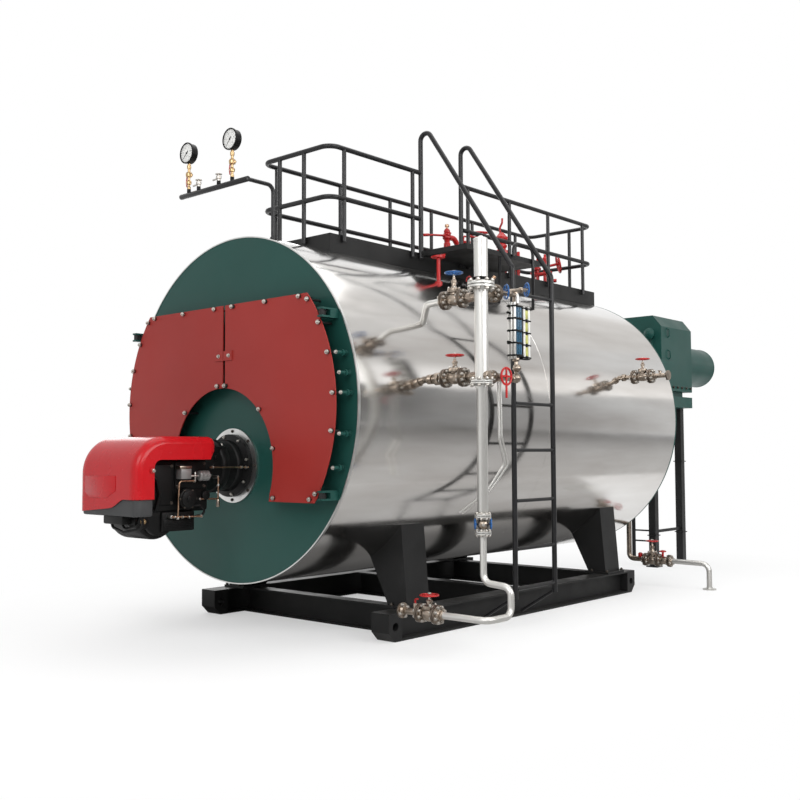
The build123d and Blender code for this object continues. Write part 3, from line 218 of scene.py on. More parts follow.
def turned(name: str, profile: Profile, steps: int = 32, angle: float = 38.0) -> Piece:
    """Turn a profile about Z, as on a lathe.

    Args:
        name: Name of the new piece.
        profile: Radius and height of each point, from one end to the other.
        steps: Facets round the axis.
        angle: Edges sharper than this stay sharp, in degrees.

    Returns:
        The turned piece, standing on the origin.
    """
    piece = drawn(name, ((radius, 0.0, height) for radius, height in profile))
    bpy.ops.mesh.spin(steps=steps, angle=math.tau, center=(0, 0, 0), axis=(0, 0, 1))
    bpy.ops.mesh.select_all(action="SELECT")
    bpy.ops.mesh.remove_doubles(threshold=1e-5)
    bpy.ops.mesh.normals_make_consistent(inside=False)
    bpy.ops.object.mode_set(mode="OBJECT")
    return smooth(piece, angle)


def ring(
    name: str, centre: Place, axis: Place, radius: float, bar: float,
    steps: int = 48
) -> Piece:
    """Round ring of round bar."""
    clear()
    bpy.ops.mesh.primitive_torus_add(
        major_radius=radius, minor_radius=bar, major_segments=steps, minor_segments=12
    )
    return smooth(moved(take(name), aim(centre, axis)), 80)


def filleted(points: Route, bend: float, steps: int = 8) -> list[Vector]:
    """Route along straight runs whose corners are round.

    Args:
        points: Corners of the route.
        bend: Radius of each corner.
        steps: Straight pieces in each corner.

    Returns:
        Points along the route.
    """
    corners = [Vector(point) for point in points]
    route = [corners[0]]
    for before, corner, after in zip(corners, corners[1:], corners[2:]):
        back, ahead = (before - corner).normalized(), (after - corner).normalized()
        half = back.angle(ahead) / 2
        reach = bend / math.tan(half)
        centre = corner + (back + ahead).normalized() * (bend / math.sin(half))
        start, end = corner + back * reach - centre, corner + ahead * reach - centre
        turn = start.angle(end)
        for step in range(steps + 1):
            share = step / steps
            weight_start = math.sin((1 - share) * turn) / math.sin(turn)
            weight_end = math.sin(share * turn) / math.sin(turn)
            route.append(centre + start * weight_start + end * weight_end)
    route.append(corners[-1])
    return route


def pipe(name: str, points: Route, radius: float, bend: float = 0.0, sides: int = 20) -> Piece:
    """Round pipe or bar along straight runs with round corners."""
    route = filleted(points, bend) if bend else [Vector(point) for point in points]
    curve = bpy.data.curves.new(name, "CURVE")
    curve.dimensions = "3D"
    spline = curve.splines.new("POLY")
    spline.points.add(len(route) - 1)
    for place, point in zip(spline.points, route):
        place.co = (*point, 1.0)
    curve.bevel_depth = radius
    curve.bevel_resolution = max(1, sides // 4 - 1)
    curve.use_fill_caps = True
    piece = bpy.data.objects.new(name, curve)
    bpy.context.scene.collection.objects.link(piece)
    pick(piece)
    bpy.ops.object.convert(target="MESH")
    return smooth(take(name), 50)


def plate(
    name: str, outline: Profile, thickness: float, frame: Matrix,
    edge: float = 0.0
) -> Piece:
    """Flat plate cut to an outline.

    Args:
        name: Name of the new piece.
        outline: Points in the frame's X and Y, one way round.
        thickness: How far the plate reaches along the frame's Z.
        frame: Where the outline lies.
        edge: Radius of its rounded edges.

    Returns:
        The plate.
    """
    clear()
    bpy.ops.mesh.primitive_circle_add(vertices=len(outline), radius=1.0, fill_type="NGON")
    piece = take(name)
    for vertex, (u, v) in zip(piece.data.vertices, outline):
        vertex.co = (u, v, 0.0)
    bpy.ops.object.mode_set(mode="EDIT")
    bpy.ops.mesh.select_all(action="SELECT")
    bpy.ops.mesh.extrude_region_move(TRANSFORM_OT_translate={"value": (0, 0, thickness)})
    bpy.ops.mesh.select_all(action="SELECT")
    bpy.ops.mesh.normals_make_consistent(inside=False)
    bpy.ops.object.mode_set(mode="OBJECT")
    moved(piece, frame)
    if edge:
        rounded(piece, edge)
    return smooth(piece)


def joined(name: str, pieces: Iterable[Piece], look: Look | None = None) -> Piece:
    """Join several meshes into one piece, all in one finish if it is given."""
    pieces = list(pieces)
    clear()
    for piece in pieces:
        piece.select_set(True)
    bpy.context.view_layer.objects.active = pieces[0]
    bpy.ops.object.join()
    whole = take(name)
    return dressed(whole, look) if look else whole


def patterned(
    name: str, template: Piece, frames: Iterable[Matrix], look: Look | None = None
) -> Piece:
    """Join copies of a template, one at each frame, each with its own mesh."""
    copies = []
    for frame in frames:
        mesh = template.data.copy()
        mesh.transform(frame)
        copy = bpy.data.objects.new(name, mesh)
        bpy.context.scene.collection.objects.link(copy)
        copies.append(copy)
    bpy.data.objects.remove(template)
    return joined(name, copies, look)


def on_circle(radius: float, count: int, start: float = 0.0) -> list[Matrix]:
    """Frames evenly round Z, each turned with its place."""
    frames = []
    for number in range(count):
        turn = math.radians(start) + math.tau * number / count
        frames.append(Matrix.Rotation(turn, 4, "Z") @ shift(radius, 0, 0))
    return frames


# Finishes


class Graph:
    """Short way to write the nodes of a material or of the world."""

    def __init__(self, owner: bpy.types.Material | bpy.types.World) -> None:
        """Take over the nodes of a material or of the world."""
        owner.use_nodes = True
        self.owner = owner
        self.nodes = owner.node_tree.nodes
        self.links = owner.node_tree.links
        self.shader = self.nodes.get("Principled BSDF")

    def node(self, kind: str, **settings: object) -> bpy.types.Node:
        """Add a node and set its own options."""
        made = self.nodes.new(kind)
        for key, value in settings.items():
            setattr(made, key, value)
        return made

    def place(self, stretch: Point = (1.0, 1.0, 1.0)) -> Socket:
        """Object coordinates, stretched along the axes."""
        coordinates = self.node("ShaderNodeTexCoord")
        mapping = self.node("ShaderNodeMapping")
        mapping.inputs["Scale"].default_value = stretch
        self.links.new(coordinates.outputs["Object"], mapping.inputs["Vector"])
        return mapping.outputs["Vector"]

    def noise(self, scale: float, stretch: Point = (1.0, 1.0, 1.0), detail: float = 4.0) -> Socket:
        """Cloudy noise from 0 to 1."""
        cloud = self.node("ShaderNodeTexNoise")
        cloud.inputs["Scale"].default_value = scale
        cloud.inputs["Detail"].default_value = detail
        self.links.new(self.place(stretch), cloud.inputs["Vector"])
        return cloud.outputs["Fac"]

    def spread(
        self, value: Socket, low: float, high: float, start: float = 0.3,
        end: float = 0.7
    ) -> Socket:
        """Carry a value from one range into another."""
        spread = self.node("ShaderNodeMapRange")
        self.links.new(value, spread.inputs["Value"])
        for socket, number in zip(
            ("From Min", "From Max", "To Min", "To Max"), (start, end, low, high),
        ):
            spread.inputs[socket].default_value = number
        return spread.outputs["Result"]

    def blend(self, factor: Socket, first: Color | Socket, second: Color) -> Socket:
        """Mix a colour into another colour or socket."""
        mix = self.node("ShaderNodeMix", data_type="RGBA")
        self.links.new(factor, mix.inputs[MIX_FACTOR])
        if isinstance(first, tuple):
            mix.inputs[MIX_FIRST].default_value = (*first, 1.0)
        else:
            self.links.new(first, mix.inputs[MIX_FIRST])
        mix.inputs[MIX_SECOND].default_value = (*second, 1.0)
        return mix.outputs[MIX_RESULT]

    def joint(self, kind: str, operation: str, first: Socket, second: Socket) -> bpy.types.Node:
        """Node that works on two sockets."""
        made = self.node(kind, operation=operation)
        self.links.new(first, made.inputs[0])
        self.links.new(second, made.inputs[1])
        return made

    def ramp(self, share: Socket, stops: Profile, tint: Color = WHITE) -> Socket:
        """Grey that changes with a share.

        Args:
            share: The socket that it follows.
            stops: Grey at each share.
            tint: Colour that white would have.

        Returns:
            The ramp's colour.
        """
        ramp = self.node("ShaderNodeValToRGB")
        elements = ramp.color_ramp.elements
        while len(elements) < len(stops):
            elements.new(0.5)
        for element, (position, value) in zip(elements, stops):
            element.position = position
            element.color = (*(value * part for part in tint), 1.0)
        self.links.new(share, ramp.inputs["Fac"])
        return ramp.outputs["Color"]

    def emit(self, color: Socket) -> None:
        """Let a material glow in a socket's colour and nothing else."""
        self.nodes.remove(self.shader)
        glow = self.node("ShaderNodeEmission")
        self.links.new(color, glow.inputs["Color"])
        surface = self.nodes["Material Output"].inputs["Surface"]
        self.links.new(glow.outputs["Emission"], surface)

    def bump(self, height: Socket, strength: float, distance: float) -> None:
        """Raise the surface by a height, on top of any earlier bump."""
        bump = self.node("ShaderNodeBump")
        bump.inputs["Strength"].default_value = strength
        bump.inputs["Distance"].default_value = distance
        self.links.new(height, bump.inputs["Height"])
        normal = self.shader.inputs["Normal"]
        if normal.is_linked:
            self.links.new(normal.links[0].from_socket, bump.inputs["Normal"])
        self.links.new(bump.outputs["Normal"], normal)


@dataclass(frozen=True)
class Finish:
    """A surface whose colour, gloss and grain vary gently.

    Attributes:
        name: The material's name.
        color: Its main colour.
        roughness: Its mean roughness.
        metallic: 1 for bare metal.
        coat: Strength of a clear coat.
        sheen: Specular level of the paint or metal.
        mottle: Share by which the colour varies.
        mottle_scale: How fine that variation is.
        stretch: Stretch of the variation along the axes.
        grain: Height of the fine grain, in metres.
        grain_scale: How fine the grain is.
        dust: How much pale dust lies on faces that look up.
    """

    name: str
    color: Color
    roughness: float = 0.5
    metallic: float = 0.0
    coat: float = 0.0
    sheen: float = 0.22
    mottle: float = 0.12
    mottle_scale: float = 3.0
    stretch: Point = (1.0, 1.0, 1.0)
    grain: float = 0.0003
    grain_scale: float = 220.0
    dust: float = 0.0

    def material(self) -> bpy.types.Material:
        """The material, made on first use."""
        known = bpy.data.materials.get(self.name)
        if known:
            return known
        graph = Graph(bpy.data.materials.new(self.name))
        self.dress(graph)
        return graph.owner

    def dress(self, graph: Graph) -> None:
        """Fill the material's nodes."""
        shader = graph.shader
        shader.inputs["Metallic"].default_value = self.metallic
        shader.inputs["Coat Weight"].default_value = self.coat
        shader.inputs["Specular IOR Level"].default_value = self.sheen
        shader.inputs["Coat Roughness"].default_value = COAT_ROUGHNESS
        dark = tuple(part * (1 - self.mottle) for part in self.color)
        light = tuple(min(1.0, part * (1 + self.mottle)) for part in self.color)
        cloud = graph.noise(self.mottle_scale, self.stretch, 6.0)
        color = graph.blend(graph.spread(cloud, 0.0, 1.0), dark, light)
        if self.dust:
            color = graph.blend(self.dust_factor(graph), color, DUST)
        graph.links.new(color, shader.inputs["Base Color"])
        gloss = graph.noise(self.mottle_scale * 2.3, self.stretch, 5.0)
        low, high = self.roughness * 0.82, min(1.0, self.roughness * 1.2)
        graph.links.new(graph.spread(gloss, low, high), shader.inputs["Roughness"])
        if self.grain:
            graph.bump(graph.noise(self.grain_scale), 0.5, self.grain)

    def dust_factor(self, graph: Graph) -> Socket:
        """Where dust lies: on faces that look up, in patches."""
        geometry = graph.node("ShaderNodeNewGeometry")
        parts = graph.node("ShaderNodeSeparateXYZ")
        graph.links.new(geometry.outputs["Normal"], parts.inputs["Vector"])
        upward = graph.spread(parts.outputs["Z"], 0.0, self.dust, 0.6, 1.0)
        patch = graph.joint("ShaderNodeMath", "MULTIPLY", upward, graph.noise(9.0))
        return patch.outputs["Value"]


@dataclass(frozen=True)
class PolishedSheet(Finish):
    """Thin polished sheet that waves a little between its seams.

    Attributes:
        streaks: Colour of its long streaks.
        stains: Colour of its stains.
        wave: Height of its long waves, in metres.
        ripple: Height of the fine waves on them, in metres.
    """

    streaks: Color = (0.60, 0.575, 0.55)
    stains: Color = (0.55, 0.525, 0.50)
    wave: float = 0.006
    ripple: float = 0.0012

    def dress(self, graph: Graph) -> None:
        """Add long streaks, stains and the sheet's waves."""
        shader = graph.shader
        shader.inputs["Metallic"].default_value = 1.0
        streak = graph.spread(graph.noise(2.2, (1.0, 0.22, 1.6), 5.0), 0.0, 1.0, 0.35, 0.68)
        warm = graph.blend(streak, self.color, self.streaks)
        stain = graph.spread(graph.noise(1.1, (1.0, 0.5, 1.0), 3.0), 0.0, 0.45, 0.55, 0.75)
        graph.links.new(graph.blend(stain, warm, self.stains), shader.inputs["Base Color"])
        cloud = graph.noise(5.0, (1.0, 0.4, 1.0), 6.0)
        gloss = graph.spread(cloud, self.roughness * 0.7, self.roughness * 1.5)
        graph.links.new(gloss, shader.inputs["Roughness"])
        graph.bump(graph.noise(1.7, (1.0, 0.45, 1.0), 2.0), 0.5, self.wave)
        graph.bump(graph.noise(6.0, (1.0, 0.35, 1.0), 2.0), 0.3, self.ripple)


@dataclass(frozen=True)
class Glass(Finish):
    """Tinted gauge glass."""

    def dress(self, graph: Graph) -> None:
        """Make the glass clear and a little uneven."""
        shader = graph.shader
        shader.inputs["Transmission Weight"].default_value = 0.55
        shader.inputs["IOR"].default_value = 1.45
        cloud = graph.spread(graph.noise(14.0), 0.0, 1.0)
        deep = tuple(part * 0.7 for part in self.color)
        graph.links.new(graph.blend(cloud, self.color, deep), shader.inputs["Base Color"])
        graph.links.new(graph.spread(cloud, 0.06, 0.14, 0.0, 1.0), shader.inputs["Roughness"])


class Look(Enum):
    """Every finish on the boiler."""

    CASING = PolishedSheet("polished_casing", (0.80, 0.79, 0.775), 0.13)
    EDGE_STEEL = Finish("edge_steel", (0.60, 0.60, 0.59), 0.34, 1.0, mottle_scale=8.0)
    GREEN = Finish(
        "green_paint", (0.0100, 0.059, 0.049), 0.40, coat=0.05, mottle=0.06, mottle_scale=1.4,
        dust=0.06,
    )
    RED_DOOR = Finish(
        "red_door_paint", (0.290, 0.026, 0.021), 0.44, coat=0.05, mottle=0.06, mottle_scale=1.2,
    )
    BLACK = Finish("black_paint", (0.014, 0.014, 0.014), 0.42, mottle=0.25, dust=0.05)
    BLACK_TUBE = Finish(
        "black_tube_paint", (0.012, 0.012, 0.013), 0.34, coat=0.15, mottle=0.2, mottle_scale=6.0,
    )
    PIPE_STEEL = Finish(
        "pipe_steel", (0.70, 0.68, 0.655), 0.22, 1.0, mottle=0.10, mottle_scale=7.0,
        stretch=(1, 1, 0.3),
    )
    VALVE_STEEL = Finish(
        "valve_steel", (0.33, 0.275, 0.225), 0.30, 1.0, mottle=0.35, mottle_scale=18.0,
    )
    # Darker copy of the valve steel for the flanges' rims: painted shade on the rim faces
    FLANGE_EDGE = Finish(
        "flange_rim_painted_shade", (0.16, 0.13, 0.105), 0.38, 1.0, mottle=0.35, mottle_scale=22.0,
    )
    BOLT = Finish("bolt_steel", (0.50, 0.475, 0.44), 0.34, 1.0, mottle=0.2, mottle_scale=30.0)
    DARK_BOLT = Finish(
        "dark_bolt_steel", (0.08, 0.07, 0.06), 0.42, 0.8, mottle=0.3, mottle_scale=30.0,
    )
    RED_VALVE = Finish(
        "red_valve_enamel", (0.400, 0.014, 0.014), 0.36, coat=0.2, mottle=0.15, mottle_scale=12.0,
    )
    BLUE_WHEEL = Finish(
        "blue_wheel_enamel", (0.016, 0.090, 0.270), 0.36, coat=0.2, mottle=0.15, mottle_scale=12.0,
    )
    HOOD_RED = Finish(
        "hood_red_gloss", (0.420, 0.006, 0.010), 0.25, coat=0.12, sheen=0.20, mottle=0.05,
        grain=0.0,
    )
    BAND_GREY = Finish("band_grey_plastic", (0.044, 0.045, 0.046), 0.5, mottle=0.1)
    CAST_BLACK = Finish(
        "cast_black", (0.0055, 0.0055, 0.0055), 0.42, sheen=0.16, mottle=0.3, grain=0.0006,
    )
    COPPER = Finish("copper_line", (0.42, 0.27, 0.18), 0.32, 1.0, mottle=0.2, mottle_scale=20.0)
    BRASS = Finish("brass_cock", (0.46, 0.32, 0.17), 0.28, 1.0, mottle=0.2, mottle_scale=24.0)
    GREY_BOX = Finish("grey_servo", (0.20, 0.195, 0.19), 0.4, 0.4, mottle=0.15, mottle_scale=15.0)
    RUBBER = Finish(
        "gasket_black", (0.010, 0.010, 0.010), 0.75, sheen=0.1, mottle=0.2, mottle_scale=20.0,
    )
    DIAL = Finish("dial_white", (0.80, 0.80, 0.78), 0.35, coat=0.1, mottle=0.02, grain=0.0)
    DIAL_MARK = Finish("dial_mark", (0.008, 0.008, 0.008), 0.5, mottle=0.05, grain=0.0)
    WINDOW = Finish(
        "window_yellow", (0.42, 0.42, 0.13), 0.3, coat=0.2, mottle=0.25, mottle_scale=25.0,
    )
    FRAME_WHITE = Finish("frame_white", (0.62, 0.62, 0.60), 0.4, mottle=0.08, mottle_scale=15.0)
    GAUGE_GLASS = Glass("gauge_glass", (0.06, 0.20, 0.34), 0.1)
    FIRE_SIDE = Finish(
        "fire_side_steel", (0.12, 0.10, 0.085), 0.72, 0.3, mottle=0.4, mottle_scale=9.0,
        grain=0.0008,
    )

    def material(self) -> bpy.types.Material:
        """The finish's material."""
        return self.value.material()


def dressed(piece: Piece, look: Look) -> Piece:
    """Give the whole piece one finish."""
    piece.data.materials.clear()
    piece.data.materials.append(look.material())
    return piece


def shown(piece: Piece, body: str, slot: str, nodes: Sequence[str] = ()) -> Piece:
    """Hand a finished piece to the frame.

    Args:
        piece: The finished piece.
        body: The body that it rides on.
        slot: The record's material slot; not used.
        nodes: Solids that it stands for.

    Returns:
        The same piece.
    """
    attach(piece, body)
    if nodes:
        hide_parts(*nodes)
    LOG.info("%s: %d faces on %s", piece.name, len(piece.data.polygons), body)
    return piece


# Small parts that repeat


def hex_bolt(size: float, length: float = 0.0, head: float = 0.0) -> Piece:
    """Hexagon nut or head on a washer, with the stud's end proud of it.

    Args:
        size: The stud's diameter.
        length: How far the stud stands out of the nut.
        head: Height of the nut; 0.8 of the size if 0.

    Returns:
        The bolt, standing on the origin along Z.
    """
    head = head or size * 0.8
    washer = rod("washer", (0, 0, 0), (0, 0, size * 0.16), size * 1.05, 20)
    nut = rod("nut", (0, 0, size * 0.16), (0, 0, size * 0.16 + head), size * 0.9, 6, size * 0.07)
    parts = [washer, nut]
    if length:
        top = size * 0.16 + head + length
        parts.append(rod("stud", (0, 0, size * 0.1), (0, 0, top), size * 0.48, 12, size * 0.08))
    return joined("bolt", parts)


def bolted_flange(radius: float, thickness: float, bore: float, bolts: int, size: float) -> Piece:
    """One raised-face flange with a ring of bolts, lying on the origin along Z.

    Args:
        radius: Outer radius.
        thickness: Thickness of the disc.
        bore: Radius of the hub.
        bolts: How many bolts it has.
        size: Diameter of a bolt.

    Returns:
        The flange and its bolts.
    """
    lip = radius * 0.03
    disc = turned(
        "flange",
        [
            (0, 0), (radius - lip, 0), (radius, lip), (radius, thickness - lip),
            (radius - lip, thickness), (bore * 1.45, thickness), (bore * 1.1, thickness * 1.9),
            (0, thickness * 1.9),
        ],
        40,
    )
    dressed(disc, Look.VALVE_STEEL)
    # The rim faces take the darker copy of the valve steel: painted shade
    disc.data.materials.append(Look.FLANGE_EDGE.material())
    for face in disc.data.polygons:
        if math.hypot(face.center.x, face.center.y) > radius * 0.955:
            face.material_index = 1
    pitch = (radius + bore * 1.35) / 2
    heads = patterned(
        "bolts",
        hex_bolt(size, size * 0.35),
        [frame @ shift(0, 0, thickness) for frame in on_circle(pitch, bolts, 22.5)],
        Look.BOLT,
    )
    return joined("bolted_flange", [disc, heads])


def flange_pair(
    centre: Place, axis: Place, radius: float, bore: float,
    thickness: float = 0.014, bolts: int = 8
) -> Piece:
    """Two bolted flanges face to face with a gasket between them."""
    size = radius * 0.2
    gap = thickness * 0.12
    upper = bolted_flange(radius, thickness, bore, bolts, size)
    lower = upper.copy()
    lower.data = upper.data.copy()
    bpy.context.scene.collection.objects.link(lower)
    moved(upper, shift(0, 0, gap))
    moved(lower, Matrix.Rotation(math.pi, 4, "X") @ shift(0, 0, gap))
    gasket = dressed(rod("gasket", (0, 0, -gap), (0, 0, gap), radius * 0.8, 32), Look.RUBBER)
    pair = joined("flange_pair", [upper, lower, gasket])
    return moved(pair, aim(centre, axis))


@dataclass(frozen=True)
class Valve:
    """A flanged globe valve, its axis along X and its stem upright.

    Attributes:
        length: From face to face.
        bore: Outer radius of the pipe.
        flange: Radius of its flanges.
        rise: Height of the hand wheel over the axis.
    """

    length: float = 0.150
    bore: float = 0.024
    flange: float = 0.062
    rise: float = 0.175

    def build(self) -> Piece:
        """The valve without its wheel, centred on the origin."""
        bore, half = self.bore, self.length / 2
        body = turned(
            "valve_body",
            [
                (0, -half), (bore * 1.15, -half), (bore * 1.15, -half * 0.72),
                (bore * 1.5, -half * 0.5), (bore * 1.75, -half * 0.2), (bore * 1.75, half * 0.2),
                (bore * 1.5, half * 0.5), (bore * 1.15, half * 0.72), (bore * 1.15, half),
                (0, half),
            ],
            32,
            60,
        )
        moved(body, aim((0, 0, 0), X_AXIS))
        bonnet = self.bonnet()
        metal = joined("valve_metal", [body, bonnet], Look.VALVE_STEEL)
        ends = [
            flange_pair((side * (half + 0.001), 0, 0), X_AXIS, self.flange, bore)
            for side in (-1, 1)
        ]
        lid_bolts = patterned(
            "lid_bolts",
            hex_bolt(bore * 0.36, bore * 0.15),
            [
                shift(0, 0, self.rise * 0.34 + 0.012) @ frame
                for frame in on_circle(bore * 1.42, 4, 45)
            ],
        )
        stem = rod("stem", (0, 0, self.rise * 0.5), (0, 0, self.rise + 0.014), 0.0068, 16)
        tip = rod(
            "stem_nut", (0, 0, self.rise + 0.007), (0, 0, self.rise + 0.016), 0.0125, 6, 0.001,
        )
        bright = joined("bright", [lid_bolts, stem, tip], Look.BOLT)
        return joined("valve", [metal, *ends, bright])

    def bonnet(self) -> Piece:
        """Neck, lid and gland over the body."""
        bore, rise = self.bore, self.rise
        return turned(
            "bonnet",
            [
                (0, 0), (bore * 1.35, 0), (bore * 1.2, rise * 0.24), (bore * 1.75, rise * 0.26),
                (bore * 1.8, rise * 0.33), (bore * 1.75, rise * 0.34 + 0.012),
                (bore * 0.95, rise * 0.36 + 0.014), (bore * 0.62, rise * 0.52),
                (bore * 0.60, rise * 0.62), (bore * 0.78, rise * 0.63), (bore * 0.78, rise * 0.72),
                (bore * 0.45, rise * 0.76), (0.009, rise * 0.84), (0, rise * 0.84),
            ],
            28,
        )


@dataclass(frozen=True)
class HandWheel:
    """A cast hand wheel on a level rim.

    Attributes:
        radius: Outer radius of the rim.
        rim: Radius of the rim's section.
        spokes: How many arms it has.
        hub: Radius of its hub.
        dish: How far the hub lies under the rim.
    """

    radius: float = 0.062
    rim: float = 0.0058
    spokes: int = 4
    hub: float = 0.014
    dish: float = 0.004

    def build(self, name: str, look: Look) -> Piece:
        """The wheel about Z with its rim at the origin's height."""
        mean = self.radius - self.rim
        rim = ring(name, (0, 0, 0), Z_AXIS, mean, self.rim, 56)
        start, end = self.hub * 0.6, mean
        half = self.rim * 0.75
        arm = plate(
            "arm",
            [
                (start, -half * 1.5), (mean * 0.6, -half), (end, -half * 1.3), (end, half * 1.3),
                (mean * 0.6, half), (start, half * 1.5),
            ],
            self.rim * 1.2,
            shift(0, 0, -self.rim * 0.6),
            self.rim * 0.3,
        )
        arms = patterned("arms", arm, on_circle(0.0, self.spokes))
        hub = turned(
            "hub",
            [
                (0, -self.dish - 0.006), (self.hub, -self.dish - 0.006), (self.hub * 1.05, 0),
                (self.hub * 0.8, 0.0068), (0, 0.0068),
            ],
            24,
        )
        return joined(name, [rim, arms, hub], look)


# Profiles and routes measured in the photograph. The burner's places are X, the distance in
# front of the boiler and Z.

SCREW = ((0, -0.004), (0.017, -0.004), (0.017, 0.010), (0.011, 0.014), (0.011, 0.020), (0, 0.020))
DRIVE = (
    (0, 0), (0.026, 0), (0.033, 0.008), (0.033, 0.020), (0.029, 0.023), (0.033, 0.026),
    (0.033, 0.046), (0.029, 0.049), (0.033, 0.052), (0.033, 0.072), (0.024, 0.080), (0, 0.080),
)
BLAST_TUBE = (
    (0, 0.3712), (0.160, 0.3712), (0.168, 0.364), (0.168, 0.235), (0.176, 0.230), (0.180, 0.222),
    (0.180, 0.180), (0.176, 0.174), (0.166, 0.168), (0.166, 0.105), (0.172, 0.100), (0.176, 0.092),
    (0.176, 0.060), (0.200, 0.052), (0.215, 0.047), (0.215, 0.0145), (0.150, 0.0145),
    (0.150, -0.27), (0.135, -0.27), (0.135, -0.05), (0, -0.05),
)
HOSE = ((0.212, 0.845, 1.12), (0.222, 0.790, 1.10), (0.224, 0.765, 1.00), (0.214, 0.790, 0.90))
LOW_LOOP = (
    (0.262, 0.915, 0.872), (0.262, 0.915, 0.800), (0.120, 0.955, 0.775), (0.0, 0.955, 0.800),
    (-0.02, 0.955, 0.880),
)
HIGH_LOOP = (
    (0.225, 0.905, 0.872), (0.205, 0.905, 0.820), (0.090, 0.930, 0.790), (0.040, 0.930, 0.875),
)
MOTOR_LOOP = (
    (0.215, 0.520, 0.920), (0.240, 0.470, 0.925), (0.240, 0.430, 0.890), (0.228, 0.455, 0.850),
)
CONDUITS = (
    ("hose", HOSE, (0.010, 0.03, 16)),
    ("conduit", LOW_LOOP, (0.0085, 0.035, 16)),
    ("conduit", HIGH_LOOP, (0.0075, 0.03, 16)),
    ("conduit", MOTOR_LOOP, (0.007, 0.02, 14)),
)
CHEST_BOLTS = (
    (0.206, 0.832, 0.945), (0.206, 0.832, 1.175), (0.206, 0.668, 0.945), (0.206, 0.668, 1.175),
    (0.206, 0.625, 1.045), (0.206, 0.415, 1.045), (0.206, 0.415, 1.190),
)
COPPER_LINES = (
    (((0.240, 0.505, 1.080), (0.240, 0.632, 1.080), (0.236, 0.638, 0.850)), (0.0058, 0.020)),
    (((0.236, 0.685, 0.858), (0.236, 0.452, 0.853)), (0.0055,)),
    (((0.212, 0.372, 1.164), (0.212, 0.048, 1.161)), (0.0052,)),
    (((0.205, 0.298, 1.104), (0.205, 0.298, 0.925)), (0.0055,)),
    (((0.205, 0.440, 0.962), (0.205, 0.300, 0.958)), (0.0055,)),
)
UNIONS = (
    ((0.236, 0.638, 0.842), Z_AXIS), ((0.236, 0.610, 0.855), Y_AXIS),
    ((0.236, 0.668, 0.858), Y_AXIS), ((0.236, 0.560, 0.853), Y_AXIS),
    ((0.212, 0.355, 1.164), Y_AXIS), ((0.212, 0.115, 1.162), Y_AXIS),
    ((0.212, 0.075, 1.161), Y_AXIS), ((0.205, 0.298, 0.930), Z_AXIS),
    ((0.205, 0.298, 1.040), Z_AXIS), ((0.240, 0.520, 1.080), Y_AXIS),
)
SMALL_VALVE = (
    (0, 0), (0.013, 0), (0.013, 0.012), (0.019, 0.016), (0.019, 0.032), (0.009, 0.036),
    (0.009, 0.050), (0, 0.050),
)
COCK = (
    (0, 0), (0.013, 0), (0.013, 0.02), (0.009, 0.024), (0.009, 0.036), (0.017, 0.040),
    (0.019, 0.058), (0.014, 0.066), (0.009, 0.070), (0.009, 0.088), (0.022, 0.094), (0.024, 0.112),
    (0.020, 0.124), (0.010, 0.130), (0.010, 0.150), (0.015, 0.152),
)
LEVER_BODY = (
    (0, -0.045), (0.028, -0.045), (0.037, -0.02), (0.037, 0.02), (0.028, 0.045), (0, 0.045),
)
LEVER_KNOB = (
    (0, 0), (0.010, 0), (0.010, 0.045), (0.032, 0.050), (0.032, 0.060), (0.010, 0.066), (0, 0.066),
)
RED_CAP = ((0, 0), (0.022, 0), (0.022, 0.03), (0.010, 0.04), (0, 0.04))
FOOT_FLANGE = (
    (0, 0), (0.060, 0), (0.060, 0.010), (0.056, 0.012), (0.030, 0.014), (0.028, 0.024), (0, 0.024),
)
SAFETY_TOP = (
    (0.030, 3.070), (0.030, 3.090), (0.024, 3.098), (0.026, 3.120), (0.040, 3.135), (0.040, 3.150),
    (0.026, 3.156), (0.034, 3.164), (0.034, 3.176), (0.024, 3.180), (0.029, 3.190), (0.026, 3.208),
    (0.014, 3.222), (0, 3.224),
)
SAFETY_TIP = (
    (0, 0), (0.010, 0), (0.010, 0.010), (0.019, 0.016), (0.019, 0.034), (0.008, 0.040), (0, 0.040),
)
STOP_TOP = (
    (0.045, 3.060), (0.030, 3.085), (0.030, 3.105), (0.017, 3.112), (0.017, 3.238), (0, 3.238),
)
LEVER_TOP = (
    (0.040, 3.170), (0.052, 3.185), (0.052, 3.200), (0.038, 3.210), (0.040, 3.240), (0.062, 3.250),
    (0.066, 3.262), (0.066, 3.274), (0.050, 3.282), (0.034, 3.302), (0.020, 3.318), (0, 3.320),
)
HORN = ((0, 0), (0.060, 0), (0.060, 0.016), (0.036, 0.020), (0.036, 0.05), (0, 0.05))
BOX_BOSS = ((0, 0), (0.062, 0), (0.062, 0.012), (0.052, 0.016), (0.030, 0.030), (0, 0.032))


# Sub-assemblies


@dataclass
class Places:
    """Places read from the frame, in metres.

    Attributes:
        front: Y of the front plate's face.
        rear: Y of the drum's rear face.
        axis: Height of the drum's axis.
        radius: Radius of the casing.
        burner: Height of the burner's axis.
    """

    front: float = 0.0
    rear: float = 0.0
    axis: float = 0.0
    radius: float = 0.0
    burner: float = 0.0

    def __post_init__(self) -> None:
        """Read the boxes of the nodes that set these places."""
        low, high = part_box("drum_casing")
        self.axis = (low.z + high.z) / 2
        self.radius = (high.z - low.z) / 2
        self.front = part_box("front_plate")[0].y
        self.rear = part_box("rear_plate")[1].y
        tube_low, tube_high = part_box("burner_ring")
        self.burner = (tube_low.z + tube_high.z) / 2

    def back(self, distance: float) -> float:
        """Y of a place that lies this far behind the front plate's face."""
        return self.front + distance

    def on_shell(self, x: float) -> float:
        """Height of the casing's upper half over a place."""
        return self.axis + math.sqrt(self.radius**2 - x**2)


